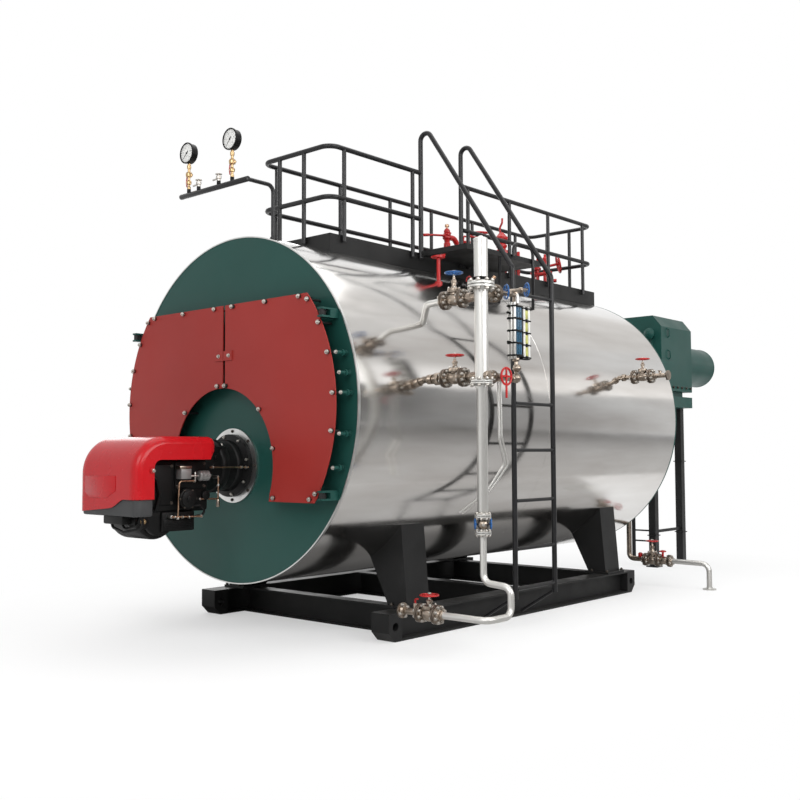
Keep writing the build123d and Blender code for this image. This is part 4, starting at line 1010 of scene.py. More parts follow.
@dataclass
class Studio:
    """Camera, pale floor, soft lamps and the grey cards that polished metal mirrors.

    Attributes:
        eye: Where the camera stands.
        yaw: Its heading from +Y towards +X, in radians.
        pitch: Its tilt upwards, in radians.
        roll: Its roll, in radians.
        focal: Focal length in pixels of the square picture.
        picture: Side of that picture in pixels.
        sensor: Width of the camera's sensor in millimetres.
        card_tint: Colour of a white card.
    """

    eye: Point = (5.490, -6.628, 1.243)
    yaw: float = -0.72338
    pitch: float = 0.05388
    roll: float = -0.00428
    focal: float = 1008.39
    picture: float = 800.0
    sensor: float = 36.0
    card_tint: Color = (1.0, 0.985, 0.97)

    def build(self) -> None:
        """Set up the whole studio."""
        self.camera()
        self.floor()
        self.cards()
        self.sky()
        self.lamps()
        bpy.context.scene.view_settings.view_transform = "Standard"

    def camera(self) -> None:
        """Camera at the photograph's viewing angle."""
        clear()
        bpy.ops.object.camera_add()
        camera = bpy.context.active_object
        ahead = Vector(
            (
                math.sin(self.yaw) * math.cos(self.pitch),
                math.cos(self.yaw) * math.cos(self.pitch),
                math.sin(self.pitch),
            )
        )
        level = Vector((math.cos(self.yaw), -math.sin(self.yaw), 0.0))
        upward = level.cross(ahead)
        right = math.cos(self.roll) * level + math.sin(self.roll) * upward
        up = right.cross(ahead)
        frame = Matrix((right, up, -ahead)).transposed().to_4x4()
        frame.translation = Vector(self.eye)
        camera.matrix_world = frame
        camera.data.sensor_width = self.sensor
        camera.data.lens = self.focal / self.picture * self.sensor
        camera.data.clip_end = 200.0
        bpy.context.scene.camera = camera

    def background_rays(self, graph: Graph) -> Socket:
        """1 for the rays that show the background: camera, gloss and glass."""
        path = graph.node("ShaderNodeLightPath")
        seen = path.outputs["Is Camera Ray"]
        for other in ("Is Glossy Ray", "Is Transmission Ray"):
            either = graph.joint("ShaderNodeMath", "MAXIMUM", seen, path.outputs[other])
            seen = either.outputs["Value"]
        return seen

    def floor(self) -> None:
        """Wide pale floor that fades to the white background."""
        clear()
        bpy.ops.mesh.primitive_plane_add(size=160.0, location=(0, 1.0, -0.001))
        floor = take("floor")
        graph = Graph(bpy.data.materials.new("studio_floor"))
        graph.nodes.remove(graph.shader)
        diffuse = graph.node("ShaderNodeBsdfDiffuse")
        diffuse.inputs["Color"].default_value = (0.90, 0.90, 0.90, 1.0)
        glow = graph.node("ShaderNodeEmission")
        glow.inputs["Color"].default_value = (*WHITE, 1.0)
        length = graph.node("ShaderNodeVectorMath", operation="LENGTH")
        graph.links.new(graph.place((1.0, 0.62, 1.0)), length.inputs[0])
        fade = graph.spread(length.outputs["Value"], 0.45, 1.0, 1.6, 3.6)
        seen = graph.joint("ShaderNodeMath", "MULTIPLY", fade, self.background_rays(graph))
        mix = graph.node("ShaderNodeMixShader")
        graph.links.new(seen.outputs["Value"], mix.inputs["Fac"])
        graph.links.new(diffuse.outputs["BSDF"], mix.inputs[1])
        graph.links.new(glow.outputs["Emission"], mix.inputs[2])
        surface = graph.nodes["Material Output"].inputs["Surface"]
        graph.links.new(mix.outputs["Shader"], surface)
        floor.data.materials.append(graph.owner)

    def cards(self) -> None:
        """Grey cards out of the picture that the polished casing mirrors as a soft horizon; the one
        under the boiler is a painted shadow of the floor that only reflections show.
        """
        wall = (
            (0.0, 0.20), (0.22, 0.17), (0.335, 0.20), (0.355, 1.15), (0.50, 1.0), (0.62, 0.66),
            (1.0, 0.74),
        )
        ground = ((0.0, 0.58), (0.15, 0.52), (0.4, 0.34), (0.7, 0.22), (1.0, 0.18))
        # The card under the boiler is dark in the middle: a painted shadow of the floor beneath,
        # seen only in reflections
        under = ((0.0, 0.05), (0.45, 0.07), (0.66, 0.16), (0.78, 0.50), (1.0, 0.60))
        ceiling = ((0.0, 0.90), (0.5, 0.78), (1.0, 0.72))
        self.card("card_wall", (9.5, 8.5, 6.5), (13.0, 50.0), 90.0, wall, 17.6, 0.74)
        self.card("card_ground", (5.6, 6.0, 0.012), (7.4, 44.0), 0.0, ground, 0.0, 0.50)
        self.card("card_under_shadow", (0.0, 0.0, 0.004), (3.8, 5.4), 0.0, under)
        self.card("card_ceiling", (2.0, 6.0, 13.0), (15.0, 44.0), 0.0, ceiling)

    def card(
        self, name: str, centre: Point, size: Pair, turn: float, stops: Profile,
        swing: float = 0.0, rear: float = 0.0
    ) -> None:
        """One glowing card that only glossy surfaces see.

        Args:
            name: Its name.
            centre: Its centre.
            size: Its width and its length along Y.
            turn: Its turn about Y from lying flat, in degrees.
            stops: Grey at each share of its width.
            swing: Its turn about Z after that, in degrees.
            rear: Grey that it has at least at its rear end.
        """
        width, length = size
        clear()
        bpy.ops.mesh.primitive_plane_add(size=1.0)
        card = take(name)
        moved(card, Matrix.Diagonal((width, length, 1.0, 1.0)))
        moved(card, Matrix.Rotation(math.radians(-turn), 4, "Y"))
        moved(card, shift(*centre) @ Matrix.Rotation(math.radians(swing), 4, "Z"))
        graph = Graph(bpy.data.materials.new(f"{name}_grey"))
        parts = graph.node("ShaderNodeSeparateXYZ")
        graph.links.new(graph.place(), parts.inputs["Vector"])
        axis, middle = ("Z", centre[2]) if turn else ("X", centre[0])
        start, end = middle - width / 2, middle + width / 2
        share = graph.spread(parts.outputs[axis], 0.0, 1.0, start, end)
        far = graph.spread(parts.outputs["Y"], 0.0, rear, 5.0, 16.0)
        grey = graph.ramp(share, stops, self.card_tint)
        graph.emit(graph.joint("ShaderNodeVectorMath", "MAXIMUM", grey, far).outputs["Vector"])
        card.data.materials.append(graph.owner)
        for ray in ("camera", "diffuse", "shadow", "transmission", "volume_scatter"):
            setattr(card, f"visible_{ray}", False)

    def sky(self) -> None:
        """White background, and an even grey room for the light that it gives."""
        graph = Graph(bpy.data.worlds.new("studio"))
        coordinates = graph.node("ShaderNodeTexCoord")
        parts = graph.node("ShaderNodeSeparateXYZ")
        graph.links.new(coordinates.outputs["Generated"], parts.inputs["Vector"])
        stops = ((0.0, 0.30), (0.05, 0.50), (0.35, 0.48), (0.7, 0.60), (1.0, 0.72))
        room = graph.ramp(parts.outputs["Z"], stops)
        color = graph.blend(self.background_rays(graph), room, WHITE)
        graph.links.new(color, graph.nodes["Background"].inputs["Color"])
        bpy.context.scene.world = graph.owner

    def lamps(self) -> None:
        """Large soft lamps over and beside the boiler."""
        rows = (
            ("overhead", (0.5, 0.5, 9.0), (0.3, 0.5, 1.5), (8.0, 10.0), 400.0),
            ("key", (4.5, -9.5, 6.5), (0.0, -1.0, 1.5), (6.0, 4.0), 330.0),
            ("fill", (9.0, -0.5, 4.6), (0.5, 0.5, 1.6), (8.0, 3.0), 420.0),
            ("back", (-8.0, 3.0, 5.0), (0.0, 0.5, 1.8), (5.0, 4.0), 140.0),
        )
        for name, place, target, (width, height), power in rows:
            bpy.ops.object.light_add(type="AREA", location=place)
            lamp = bpy.context.active_object
            lamp.name = name
            lamp.data.shape = "RECTANGLE"
            lamp.data.size, lamp.data.size_y = width, height
            lamp.data.energy = power
            lamp.rotation_euler = (
                Vector(target) - Vector(place)
            ).to_track_quat("-Z", "Y").to_euler()


@dataclass
class Drum:
    """Polished casing, its seams and end plates.

    Attributes:
        places: Places read from the frame.
        around: Facets round the casing.
        sheets: How many sheets follow one another along the drum.
        rows: Facets along each sheet.
        lap: Step from one sheet to the next.
        wall: Thickness of the casing's rim.
        wave: Height of the sheet's waves.
        tube: Outer radius of a fire tube.
        pitch: Distance between fire tubes.
    """

    places: Places
    around: int = 224
    sheets: int = 4
    rows: int = 24
    lap: float = 0.0011
    wall: float = 0.008
    wave: float = 0.0014
    tube: float = 0.032
    pitch: float = 0.108

    def build(self) -> None:
        """Make the casing and dress the plates."""
        self.casing()
        looks = dict.fromkeys(("front_plate", "rear_plate"), Look.GREEN)
        looks |= dict.fromkeys(("tube_plate", "furnace_tube"), Look.FIRE_SIDE)
        dress_nodes(looks | {"front_trim_ring": Look.EDGE_STEEL})
        self.tube_ends()

    def casing(self) -> None:
        """Sheets that lap over each other and wave a little, calmer towards the rear."""
        low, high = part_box("drum_casing")
        length = high.y - low.y
        outer, inner = self.places.radius, self.places.radius - self.wall
        profile = [(inner, low.y)]
        for sheet in range(self.sheets):
            start = low.y + length * sheet / self.sheets
            end = low.y + length * (sheet + 1) / self.sheets
            radius = outer - (self.lap if sheet % 2 else 0.0)
            for row in range(self.rows + 1):
                profile.append((radius, start + (end - start) * row / self.rows * 0.9995))
        profile.append((inner, high.y))
        skin = turned("casing_sheets", profile, self.around, 60)
        for vertex in skin.data.vertices:
            radial = Vector((vertex.co.x, vertex.co.y, 0.0))
            if radial.length < outer - self.wall / 2:
                continue
            place = Vector((vertex.co.x * 1.6, vertex.co.y * 1.6, vertex.co.z * 0.7))
            share = (vertex.co.z - low.y) / length
            calm = 1.0 - 0.7 * min(1.0, max(0.0, share * 1.4 - 0.2))
            vertex.co += radial.normalized() * (noise.noise(place) * self.wave * calm)
        level = Matrix.Rotation(-math.pi / 2, 4, "X")
        moved(skin, shift(0, 0, self.places.axis) @ level)
        shown(dressed(skin, Look.CASING), "boiler", "stainless_casing", ["drum_casing"])

    def tube_ends(self) -> None:
        """Ends of the fire tubes in the tube plate behind the doors; dark discs close their bores
        as painted shade.
        """
        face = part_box("tube_plate")[0].y
        bore = self.tube * 0.86
        lip = [(bore, 0.003), (self.tube * 0.90, -0.006), (self.tube, -0.008)]
        mouth = turned("tube_end", [*lip, (self.tube * 1.16, 0.0)], 20, 60)
        rims, bore_shade_frames = [], []
        for x, z in self.tube_places():
            rims.append(aim((x, face, z), Y_AXIS))
            bore_shade_frames.append(aim((x, face - 0.0006, z), -Y_AXIS))
        bright = patterned("tube_rims", mouth, rims, Look.FIRE_SIDE)
        # Dark discs just behind the mouths stand in for the deep bores: painted shade
        bore_shade_disc = rod("tube_bore_shade", (0, 0, 0), (0, 0, 0.0008), bore, 20, 0.0001)
        dark = patterned("tube_bore_shades", bore_shade_disc, bore_shade_frames, Look.RUBBER)
        shown(joined("fire_tube_ends", [bright, dark]), "boiler", "boiler_steel")

    def tube_places(self) -> list[Pair]:
        """X and Z of the fire tubes, in staggered rows round the furnace."""
        spots = []
        for row in range(12):
            z = 1.02 + row * self.pitch * 0.87
            for column in range(-9, 10):
                x = (column + 0.5 * (row % 2)) * self.pitch
                in_drum = math.hypot(x, z - self.places.axis) < 0.96
                off_furnace = math.hypot(x, z - self.places.burner) > 0.60
                if in_drum and off_furnace and abs(x) > 0.06 and z < 2.12:
                    spots.append((x, z))
        return spots


def dress_nodes(looks: dict[str, Look]) -> None:
    """Give carried-over nodes their finish.

    Args:
        looks: Finish of each node by its name.
    """
    for name, look in looks.items():
        node = bpy.data.objects[name]
        node.data.materials.clear()
        node.data.materials.append(look.material())


@dataclass
class Doors:
    """Fastenings of the smoke box doors.

    Attributes:
        places: Places read from the frame.
        outer: Radius of the leaves.
        inner: Radius of the opening round the burner.
        top: Height of their upper edge.
        bottom: Height of their lower edge.
        inset: Distance of the nuts from the edge.
        size: Diameter of a nut's stud.
        clamp: Distance of the clamps from the drum's axis.
    """

    places: Places
    outer: float = 1.105
    inner: float = 0.530
    top: float = 2.270
    bottom: float = 0.940
    inset: float = 0.017
    size: float = 0.0115
    clamp: float = 1.136

    def build(self) -> None:
        """Dress the leaves and set their nuts, clasps and clamps."""
        looks = dict.fromkeys(("door_cover_right", "door_cover_left"), Look.RED_DOOR)
        looks |= dict.fromkeys(("door_body_right", "door_body_left"), Look.BLACK)
        dress_nodes(looks | dict.fromkeys(("hinge_lugs", "door_clamps"), Look.GREEN))
        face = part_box("door_cover_right")[0].y
        right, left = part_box("door_cover_right")[0].x, -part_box("door_cover_left")[1].x
        for side, sign, free, clasp in (("right", 1, right, 0.082), ("left", -1, left, -0.026)):
            seats = [aim((sign * x, face + 0.0005, z), -Y_AXIS) for x, z in self.nut_places(free)]
            caps = rod("cap", (0, 0, 0), (0, 0, 0.0105), 0.0146, 20, 0.0016)
            tips = [frame @ shift(0, 0, 0.0098) for frame in seats]
            nuts = patterned("nuts", hex_bolt(self.size, 0.003, 0.006), tips)
            parts = [patterned("caps", caps, seats), nuts]
            shown(joined(f"door_nuts_{side}", parts, Look.BOLT), f"door_{side}", "door_red")
            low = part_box(f"door_cover_{side}")[0].y
            bolt = moved(hex_bolt(0.013, 0.003, 0.008), aim((clasp, low, 1.922), -Y_AXIS))
            bolt.name = f"clasp_bolt_{side}"
            shown(dressed(bolt, Look.BOLT), f"door_{side}", "door_red")
        self.clamps()

    def nut_places(self, free: float) -> list[Pair]:
        """X and Z of the studs of a leaf on the +X side.

        Args:
            free: X of the leaf's free edge.

        Returns:
            One place for each stud.
        """
        axis, rim, arch = self.places.axis, self.outer - self.inset, self.inner + self.inset
        spots = []
        for angle in (-9.0, 3.4, 17.0, 28.0):
            turn = math.radians(angle)
            spots.append((rim * math.cos(turn), axis + rim * math.sin(turn)))
        for z in (self.bottom + 0.060, self.top - 0.043):
            spots.append((math.sqrt(rim**2 - (z - axis) ** 2), z))
        corner = math.sqrt(self.outer**2 - (self.top - axis) ** 2)
        for share in (0.11, 0.52, 0.92):
            spots.append((free + share * (corner - free), self.top - self.inset))
        for angle in (86.0, 43.0, 12.0):
            x = max(arch * math.cos(math.radians(angle)), free + self.inset)
            spots.append((x, self.places.burner + math.sqrt(arch**2 - x**2)))
        foot = self.bottom + 0.025
        outside = math.sqrt(self.outer**2 - (foot - axis) ** 2)
        return [*spots, (0.540, foot), (outside - 0.050, foot)]

    def clamps(self) -> None:
        """Bright nuts and green washers on the clamp studs round the doors."""
        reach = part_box("door_clamps")[0].y
        frames = []
        for angle in (-20.5, -9.5, 3.3, 9.6, 16.2):
            turn = math.radians(angle)
            z = self.places.axis + self.clamp * math.sin(turn)
            for sign in (1, -1):
                spot = (sign * self.clamp * math.cos(turn), reach, z)
                frames.append(aim(spot, -Y_AXIS, angle * 3))
        tips = patterned("clamp_tips", hex_bolt(0.0125, 0.004, 0.008), frames, Look.BOLT)
        backs = [frame @ shift(0, 0, -0.0905) for frame in frames]
        feet = patterned("clamp_feet", hex_bolt(0.020, 0.0, 0.012), backs, Look.GREEN)
        shown(joined("clamp_nuts", [tips, feet]), "boiler", "clamp_green")


@dataclass
class Burner:
    """Gas burner on the front plate.

    Attributes:
        places: Places read from the frame.
        half: Half of the cover's width.
        front: Distance of its face in front of the boiler.
        top: Height of the cover's top.
        foot: Height of the cover's lower edge.
        corner: Radius of the cover's upright front corners.
    """

    places: Places
    half: float = 0.310
    front: float = 1.000
    top: float = 1.362
    foot: float = 0.976
    corner: float = 0.048

    def y(self, distance: float) -> float:
        """Y of a place this far in front of the boiler's face."""
        return self.places.front - distance

    def build(self) -> None:
        """Make the cover, the castings, the drives and the flange."""
        shown(self.cover(), "boiler", "burner_red", ["burner_hood"])
        shown(self.castings(), "boiler", "burner_dark", ["burner_housing", "burner_motor"])
        shown(self.neck(), "boiler", "burner_dark", ["burner_tube"])
        shown(self.lines(), "boiler", "burner_dark")
        dress_nodes({"burner_ring": Look.EDGE_STEEL})

    def cover(self) -> Piece:
        """Red cover with its apron, grey band, blank panel, screws, and dark bars as painted shade
        in its air slots.
        """
        shell = self.shell()
        outline = [
            (-0.238, 1.118), (0.100, 1.120), (0.098, 1.026), (0.004, 0.984), (-0.190, 0.984),
            (-0.243, 1.016),
        ]
        face = self.y(self.front) - 0.0032
        upright = Matrix(((1, 0, 0, 0), (0, 0, 1, face), (0, 1, 0, 0), (0, 0, 0, 1)))
        panel = plate("blank_panel", outline, 0.0040, upright, 0.0015)
        red = joined("cover_red", [shell, self.apron(), panel], Look.HOOD_RED)
        screws, tips = [], []
        for sign in (1, -1):
            knob = turned("screw", SCREW, 20)
            seat, tip = sign * self.half, sign * (self.half + 0.019)
            screws.append(moved(knob, aim((seat, self.y(0.883), 1.150), (sign, 0, 0))))
            head = hex_bolt(0.011, 0.0, 0.006)
            tips.append(moved(head, aim((tip, self.y(0.883), 1.150), (sign, 0, 0))))
        knobs = joined("cover_screws", screws, Look.RED_VALVE)
        bright = joined("cover_heads", tips, Look.BOLT)
        # Dark bars on the cover's top stand in for its air slots: painted shade of the openings
        slots = []
        for step in range(7):
            x = -0.17 + step * 0.034
            low, high = (x, 0.735, self.top - 0.002), (x + 0.020, 0.625, self.top + 0.003)
            slots.append(self.box("vent_shade_bar", low, high, 0.001))
        vent_shade_bars = joined("vent_shade_bars", slots, Look.RUBBER)
        return joined("burner_cover", [red, self.band(), knobs, bright, vent_shade_bars])

    def shell(self) -> Piece:
        """Side profile with a round brow, its rim drawn in at both sides."""
        y_front, y_step, y_back = self.y(self.front), self.y(0.865), self.y(0.388)
        brow, tail, chamfer, throat, waist = 0.230, 0.050, 0.052, 0.048, 1.216
        rim = [(y_front, self.foot)]
        rim += self.arc((y_front + brow, self.top - brow), brow, 180, 90, 18)
        rim += self.arc((y_back - tail, self.top - tail), tail, 90, 0, 6)
        rim.append((y_back, waist + chamfer))
        under = [(y_back - chamfer, waist)]
        under += self.arc((y_step + throat, waist - throat), throat, 90, 180, 6)
        under.append((y_step, self.foot))
        frame = Matrix(((0, 0, 1, -self.half), (1, 0, 0, 0), (0, 1, 0, 0), (0, 0, 0, 1)))
        shell = plate("burner_hood_cover", [*rim, *under], 2 * self.half, frame)
        self.slice_across(shell, 23)
        self.draw_in(shell, [Vector((0.0, *point)) for point in rim])
        return smooth(shell, 40)

    def slice_across(self, piece: Piece, cuts: int) -> None:
        """Cut the long edges across the cover, closer together near its sides."""
        pick(piece)
        bpy.ops.object.mode_set(mode="EDIT")
        bpy.ops.mesh.select_mode(type="EDGE")
        bpy.ops.mesh.select_all(action="DESELECT")
        bpy.ops.object.mode_set(mode="OBJECT")
        mesh = piece.data
        for edge in mesh.edges:
            first, second = (mesh.vertices[number].co for number in edge.vertices)
            edge.select = abs(first.x - second.x) > self.half
        bpy.ops.object.mode_set(mode="EDIT")
        bpy.ops.mesh.subdivide(number_cuts=cuts)
        bpy.ops.mesh.select_mode(type="VERT")
        bpy.ops.object.mode_set(mode="OBJECT")
        for vertex in mesh.vertices:
            vertex.co.x = self.half * math.sin(
                math.pi / 2 * max(-1.0, min(1.0, vertex.co.x / self.half))
            )

    def draw_in(self, piece: Piece, rim: Sequence[Vector]) -> None:
        """Move the rim inwards near the sides, by a quarter round of the corner's radius."""
        for vertex in piece.data.vertices:
            flat = Vector((0.0, vertex.co.y, vertex.co.z))
            near = min(range(len(rim)), key=lambda number: (rim[number] - flat).length)
            inside = self.corner - (self.half - abs(vertex.co.x))
            if inside <= 0 or (rim[near] - flat).length > 1e-4:
                continue
            tangent = rim[min(near + 1, len(rim) - 1)] - rim[max(near - 1, 0)]
            outward = Vector((0.0, -tangent.z, tangent.y)).normalized()
            drop = self.corner - math.sqrt(max(0.0, self.corner**2 - inside**2))
            vertex.co -= outward * drop

    def plan(self, grow: float, back: float) -> list[Pair]:
        """Plan of the cover with round front corners, from its left side to its right.

        Args:
            grow: How far it stands outside the cover.
            back: Distance of its rear end in front of the boiler.

        Returns:
            X and Y of each point.
        """
        half, front, corner = self.half + grow, self.y(self.front) - grow, self.corner + grow
        left = self.arc((-half + corner, front + corner), corner, 180, 270, 8)
        right = self.arc((half - corner, front + corner), corner, 270, 360, 8)
        middle = [
            (-half + corner + (2 * half - 2 * corner) * step / 24, front)
            for step in range(1, 24)
        ]
        return [(-half, self.y(back)), *left, *middle, *right, (half, self.y(back))]

    def apron(self) -> Piece:
        """Red strip that hangs over the grey band and curves up at its right end."""
        strip = drawn("apron", ((x, y, 0.0) for x, y in self.plan(-0.0012, 0.868)))
        rise = (0, 0, self.foot + 0.014)
        bpy.ops.mesh.extrude_region_move(TRANSFORM_OT_translate={"value": rise})
        bpy.ops.object.mode_set(mode="OBJECT")
        low, tip = 0.892, self.foot + 0.006
        for vertex in strip.data.vertices:
            if vertex.co.z < 0.5:
                share = min(1.0, max(0.0, (vertex.co.x - 0.030) / 0.175))
                curve = share * share * (3 - 2 * share)
                slope = 0.030 * min(1.0, max(0.0, (vertex.co.x + 0.3) / 0.35))
                vertex.co.z = low + slope * (1 - curve) + (tip - low) * curve
        return smooth(apply_modifier(strip, "SOLIDIFY", thickness=0.003, offset=0.0), 50)

    def band(self) -> Piece:
        """Dark grey band under the cover."""
        low = 0.872
        outline = self.plan(-0.008, 0.868)
        band = plate("grey_band", outline, self.foot - low + 0.004, shift(0, 0, low), 0.012)
        return dressed(band, Look.BAND_GREY)

    def arc(
        self, centre: Pair, radius: float, start: float, end: float, steps: int = 8
    ) -> list[Pair]:
        """Points of an arc, angles in degrees."""
        points = []
        for step in range(steps + 1):
            turn = math.radians(start + (end - start) * step / steps)
            points.append(
                (centre[0] + radius * math.cos(turn), centre[1] + radius * math.sin(turn))
            )
        return points

    def spot(self, place: Point) -> Point:
        """Place in the frame of X, distance in front of the boiler and Z."""
        return place[0], self.y(place[1]), place[2]

    def box(
        self, name: str, low: Point, high: Point, edge: float = 0.002, segments: int = 2
    ) -> Piece:
        """Block between two such places."""
        return block(name, self.spot(low), self.spot(high), edge, segments)

    def bar(self, name: str, start: Point, end: Point, *shape: float) -> Piece:
        """Round bar between two such places."""
        return rod(name, self.spot(start), self.spot(end), *shape)

    def line(self, name: str, points: Sequence[Point], *shape: float) -> Piece:
        """Bent line along such places."""
        return pipe(name, [self.spot(point) for point in points], *shape)

    def across(
        self, name: str, distance: float, z: float, radius: float, start: float, end: float,
        edge: float
    ) -> Piece:
        """Round part whose axis lies across the burner, from one X to another."""
        return self.bar(name, (start, distance, z), (end, distance, z), radius, 40, edge)

    def heads(
        self, name: str, template: Piece, places: Iterable[Point], axis: Vector, look: Look
    ) -> Piece:
        """Bolts at such places."""
        return patterned(name, template, [aim(self.spot(place), axis) for place in places], look)

    def castings(self) -> Piece:
        """Black valve body, fan scroll, gas box and drives under the snout."""
        parts = [
            self.box("valve_chest", (-0.205, 0.862, 0.886), (0.196, 0.372, 1.2155), 0.020, 3),
            self.box("chest_door", (0.190, 0.845, 0.930), (0.207, 0.655, 1.190), 0.008, 3),
            self.box("rear_pad", (0.190, 0.640, 1.030), (0.206, 0.400, 1.205), 0.006, 2),
            self.across("fan_scroll", 0.735, 0.889, 0.172, -0.150, 0.150, 0.030),
            self.across("scroll_step", 0.735, 0.860, 0.120, 0.150, 0.186, 0.012),
            self.box("gas_box", (0.060, 0.735, 0.766), (0.205, 0.485, 0.890), 0.010, 3),
            self.box("gas_box_lid", (0.200, 0.722, 0.776), (0.210, 0.500, 0.842), 0.004),
            self.across("solenoid", 0.868, 0.836, 0.055, 0.100, 0.188, 0.010),
            self.across("solenoid_cap", 0.868, 0.836, 0.036, 0.186, 0.198, 0.005),
            self.box("terminal_box", (-0.06, 0.985, 0.822), (0.150, 0.880, 0.875), 0.010),
            self.across("motor_neck", 0.575, 0.968, 0.050, 0.195, 0.222, 0.004),
            self.across("motor_body", 0.572, 0.968, 0.066, 0.218, 0.256, 0.009),
            self.across("motor_lid", 0.572, 0.968, 0.056, 0.254, 0.268, 0.006),
            self.across("motor_boss", 0.572, 0.968, 0.020, 0.266, 0.276, 0.003),
            self.across("second_cap", 0.400, 0.985, 0.030, 0.190, 0.214, 0.004),
        ]
        for row in range(6):
            z = 0.782 + 0.010 * row
            parts.append(self.box("fin", (0.208, 0.712, z), (0.214, 0.512, z + 0.004), 0.001, 1))
        for row in range(4):
            near = 0.835 - row * 0.012
            far = near - 0.006
            parts.append(self.box("rib", (0.205, near, 1.00), (0.211, far, 1.15), 0.002, 1))
        for name, points, shape in CONDUITS:
            parts.append(self.line(name, points, *shape))
        black = joined("black_castings", parts, Look.CAST_BLACK)
        servo = self.box("servo", (0.204, 0.633, 1.093), (0.262, 0.553, 1.158), 0.006)
        lid = self.box("servo_lid", (0.206, 0.640, 1.156), (0.258, 0.546, 1.176), 0.004)
        drive = moved(turned("drive", DRIVE, 32), aim((0.240, self.y(0.485), 1.112), Y_AXIS))
        shafts = [
            self.bar("drive_shaft", (0.240, 0.545, 1.112), (0.240, 0.380, 1.112), 0.006, 12),
            self.bar("drive_link", (0.240, 0.510, 1.136), (0.240, 0.510, 1.078), 0.006, 12),
        ]
        steel = joined("shafts", shafts, Look.BOLT)
        cock = moved(hex_bolt(0.018, 0.010, 0.010), aim((0.198, self.y(0.868), 0.836), X_AXIS))
        heads = self.heads(
            "chest_bolts", hex_bolt(0.010, 0.0, 0.007), CHEST_BOLTS, X_AXIS, Look.DARK_BOLT,
        )
        motor = aim((0.254, self.y(0.572), 0.968), X_AXIS)
        around = [motor @ frame for frame in on_circle(0.061, 6)]
        lid_bolts = patterned("lid_bolts", hex_bolt(0.007, 0.0, 0.005), around, Look.DARK_BOLT)
        drives = [
            dressed(servo, Look.GREY_BOX), dressed(lid, Look.VALVE_STEEL),
            dressed(drive, Look.GREY_BOX),
        ]
        rest = [steel, dressed(cock, Look.BRASS), heads, lid_bolts]
        return joined("burner_castings", [black, *drives, *rest])

    def neck(self) -> Piece:
        """Black combustion head with its ribs and bolted flange."""
        height = self.places.burner
        tube = turned("blast_tube", [(radius, -distance) for radius, distance in BLAST_TUBE], 72)
        moved(tube, aim((0, self.places.front, height), Y_AXIS))
        head = self.box("head_block", (-0.135, 0.355, 1.180), (0.140, 0.165, 1.300), 0.014, 3)
        gland = self.bar("gland", (0.150, 0.285, 1.225), (0.172, 0.285, 1.225), 0.016, 20, 0.003)
        parts = [joined("neck_black", [tube, head, gland], Look.CAST_BLACK)]
        for name, size, distance, circle, look in (
            ("neck_bolts", (0.0125, 0.006), 0.047, (0.198, 8, 12.0), Look.BOLT),
            ("ring_bolts", (0.011, 0.004, 0.006), 0.014, (0.236, 8), Look.DARK_BOLT),
        ):
            face = aim((0, self.y(distance), height), -Y_AXIS)
            frames = [face @ frame for frame in on_circle(*circle)]
            parts.append(patterned(name, hex_bolt(*size), frames, look))
        places = [(x, distance, 1.299) for x in (-0.10, 0.105) for distance in (0.330, 0.190)]
        parts.append(self.heads("top_bolts", hex_bolt(0.014, 0.008), places, Z_AXIS, Look.BOLT))
        return joined("burner_neck", parts)

    def lines(self) -> Piece:
        """Copper air and gas lines, the linkage rod and their unions."""
        lines = [self.line("line", points, *shape) for points, shape in COPPER_LINES]
        copper = joined("copper", lines, Look.COPPER)
        frames = [aim(self.spot(place), axis) for place, axis in UNIONS]
        joints = patterned("unions", hex_bolt(0.0115, 0.004, 0.010), frames, Look.BOLT)
        bulb = self.bar("bulb", (0.205, 0.298, 0.905), (0.205, 0.298, 0.955), 0.012, 20, 0.004)
        dressed(bulb, Look.VALVE_STEEL)
        stays = []
        for start, end, distance, z, radius in (
            (0.180, 0.207, 0.440, 0.962, 0.009), (0.150, 0.207, 0.298, 1.100, 0.009),
            (0.185, 0.238, 0.452, 0.853, 0.010), (0.190, 0.238, 0.685, 0.858, 0.010),
        ):
            stays.append(self.bar("stay", (start, distance, z), (end, distance, z), radius, 16))
        return joined("burner_lines", [copper, joints, bulb, joined("stays", stays, Look.BOLT)])


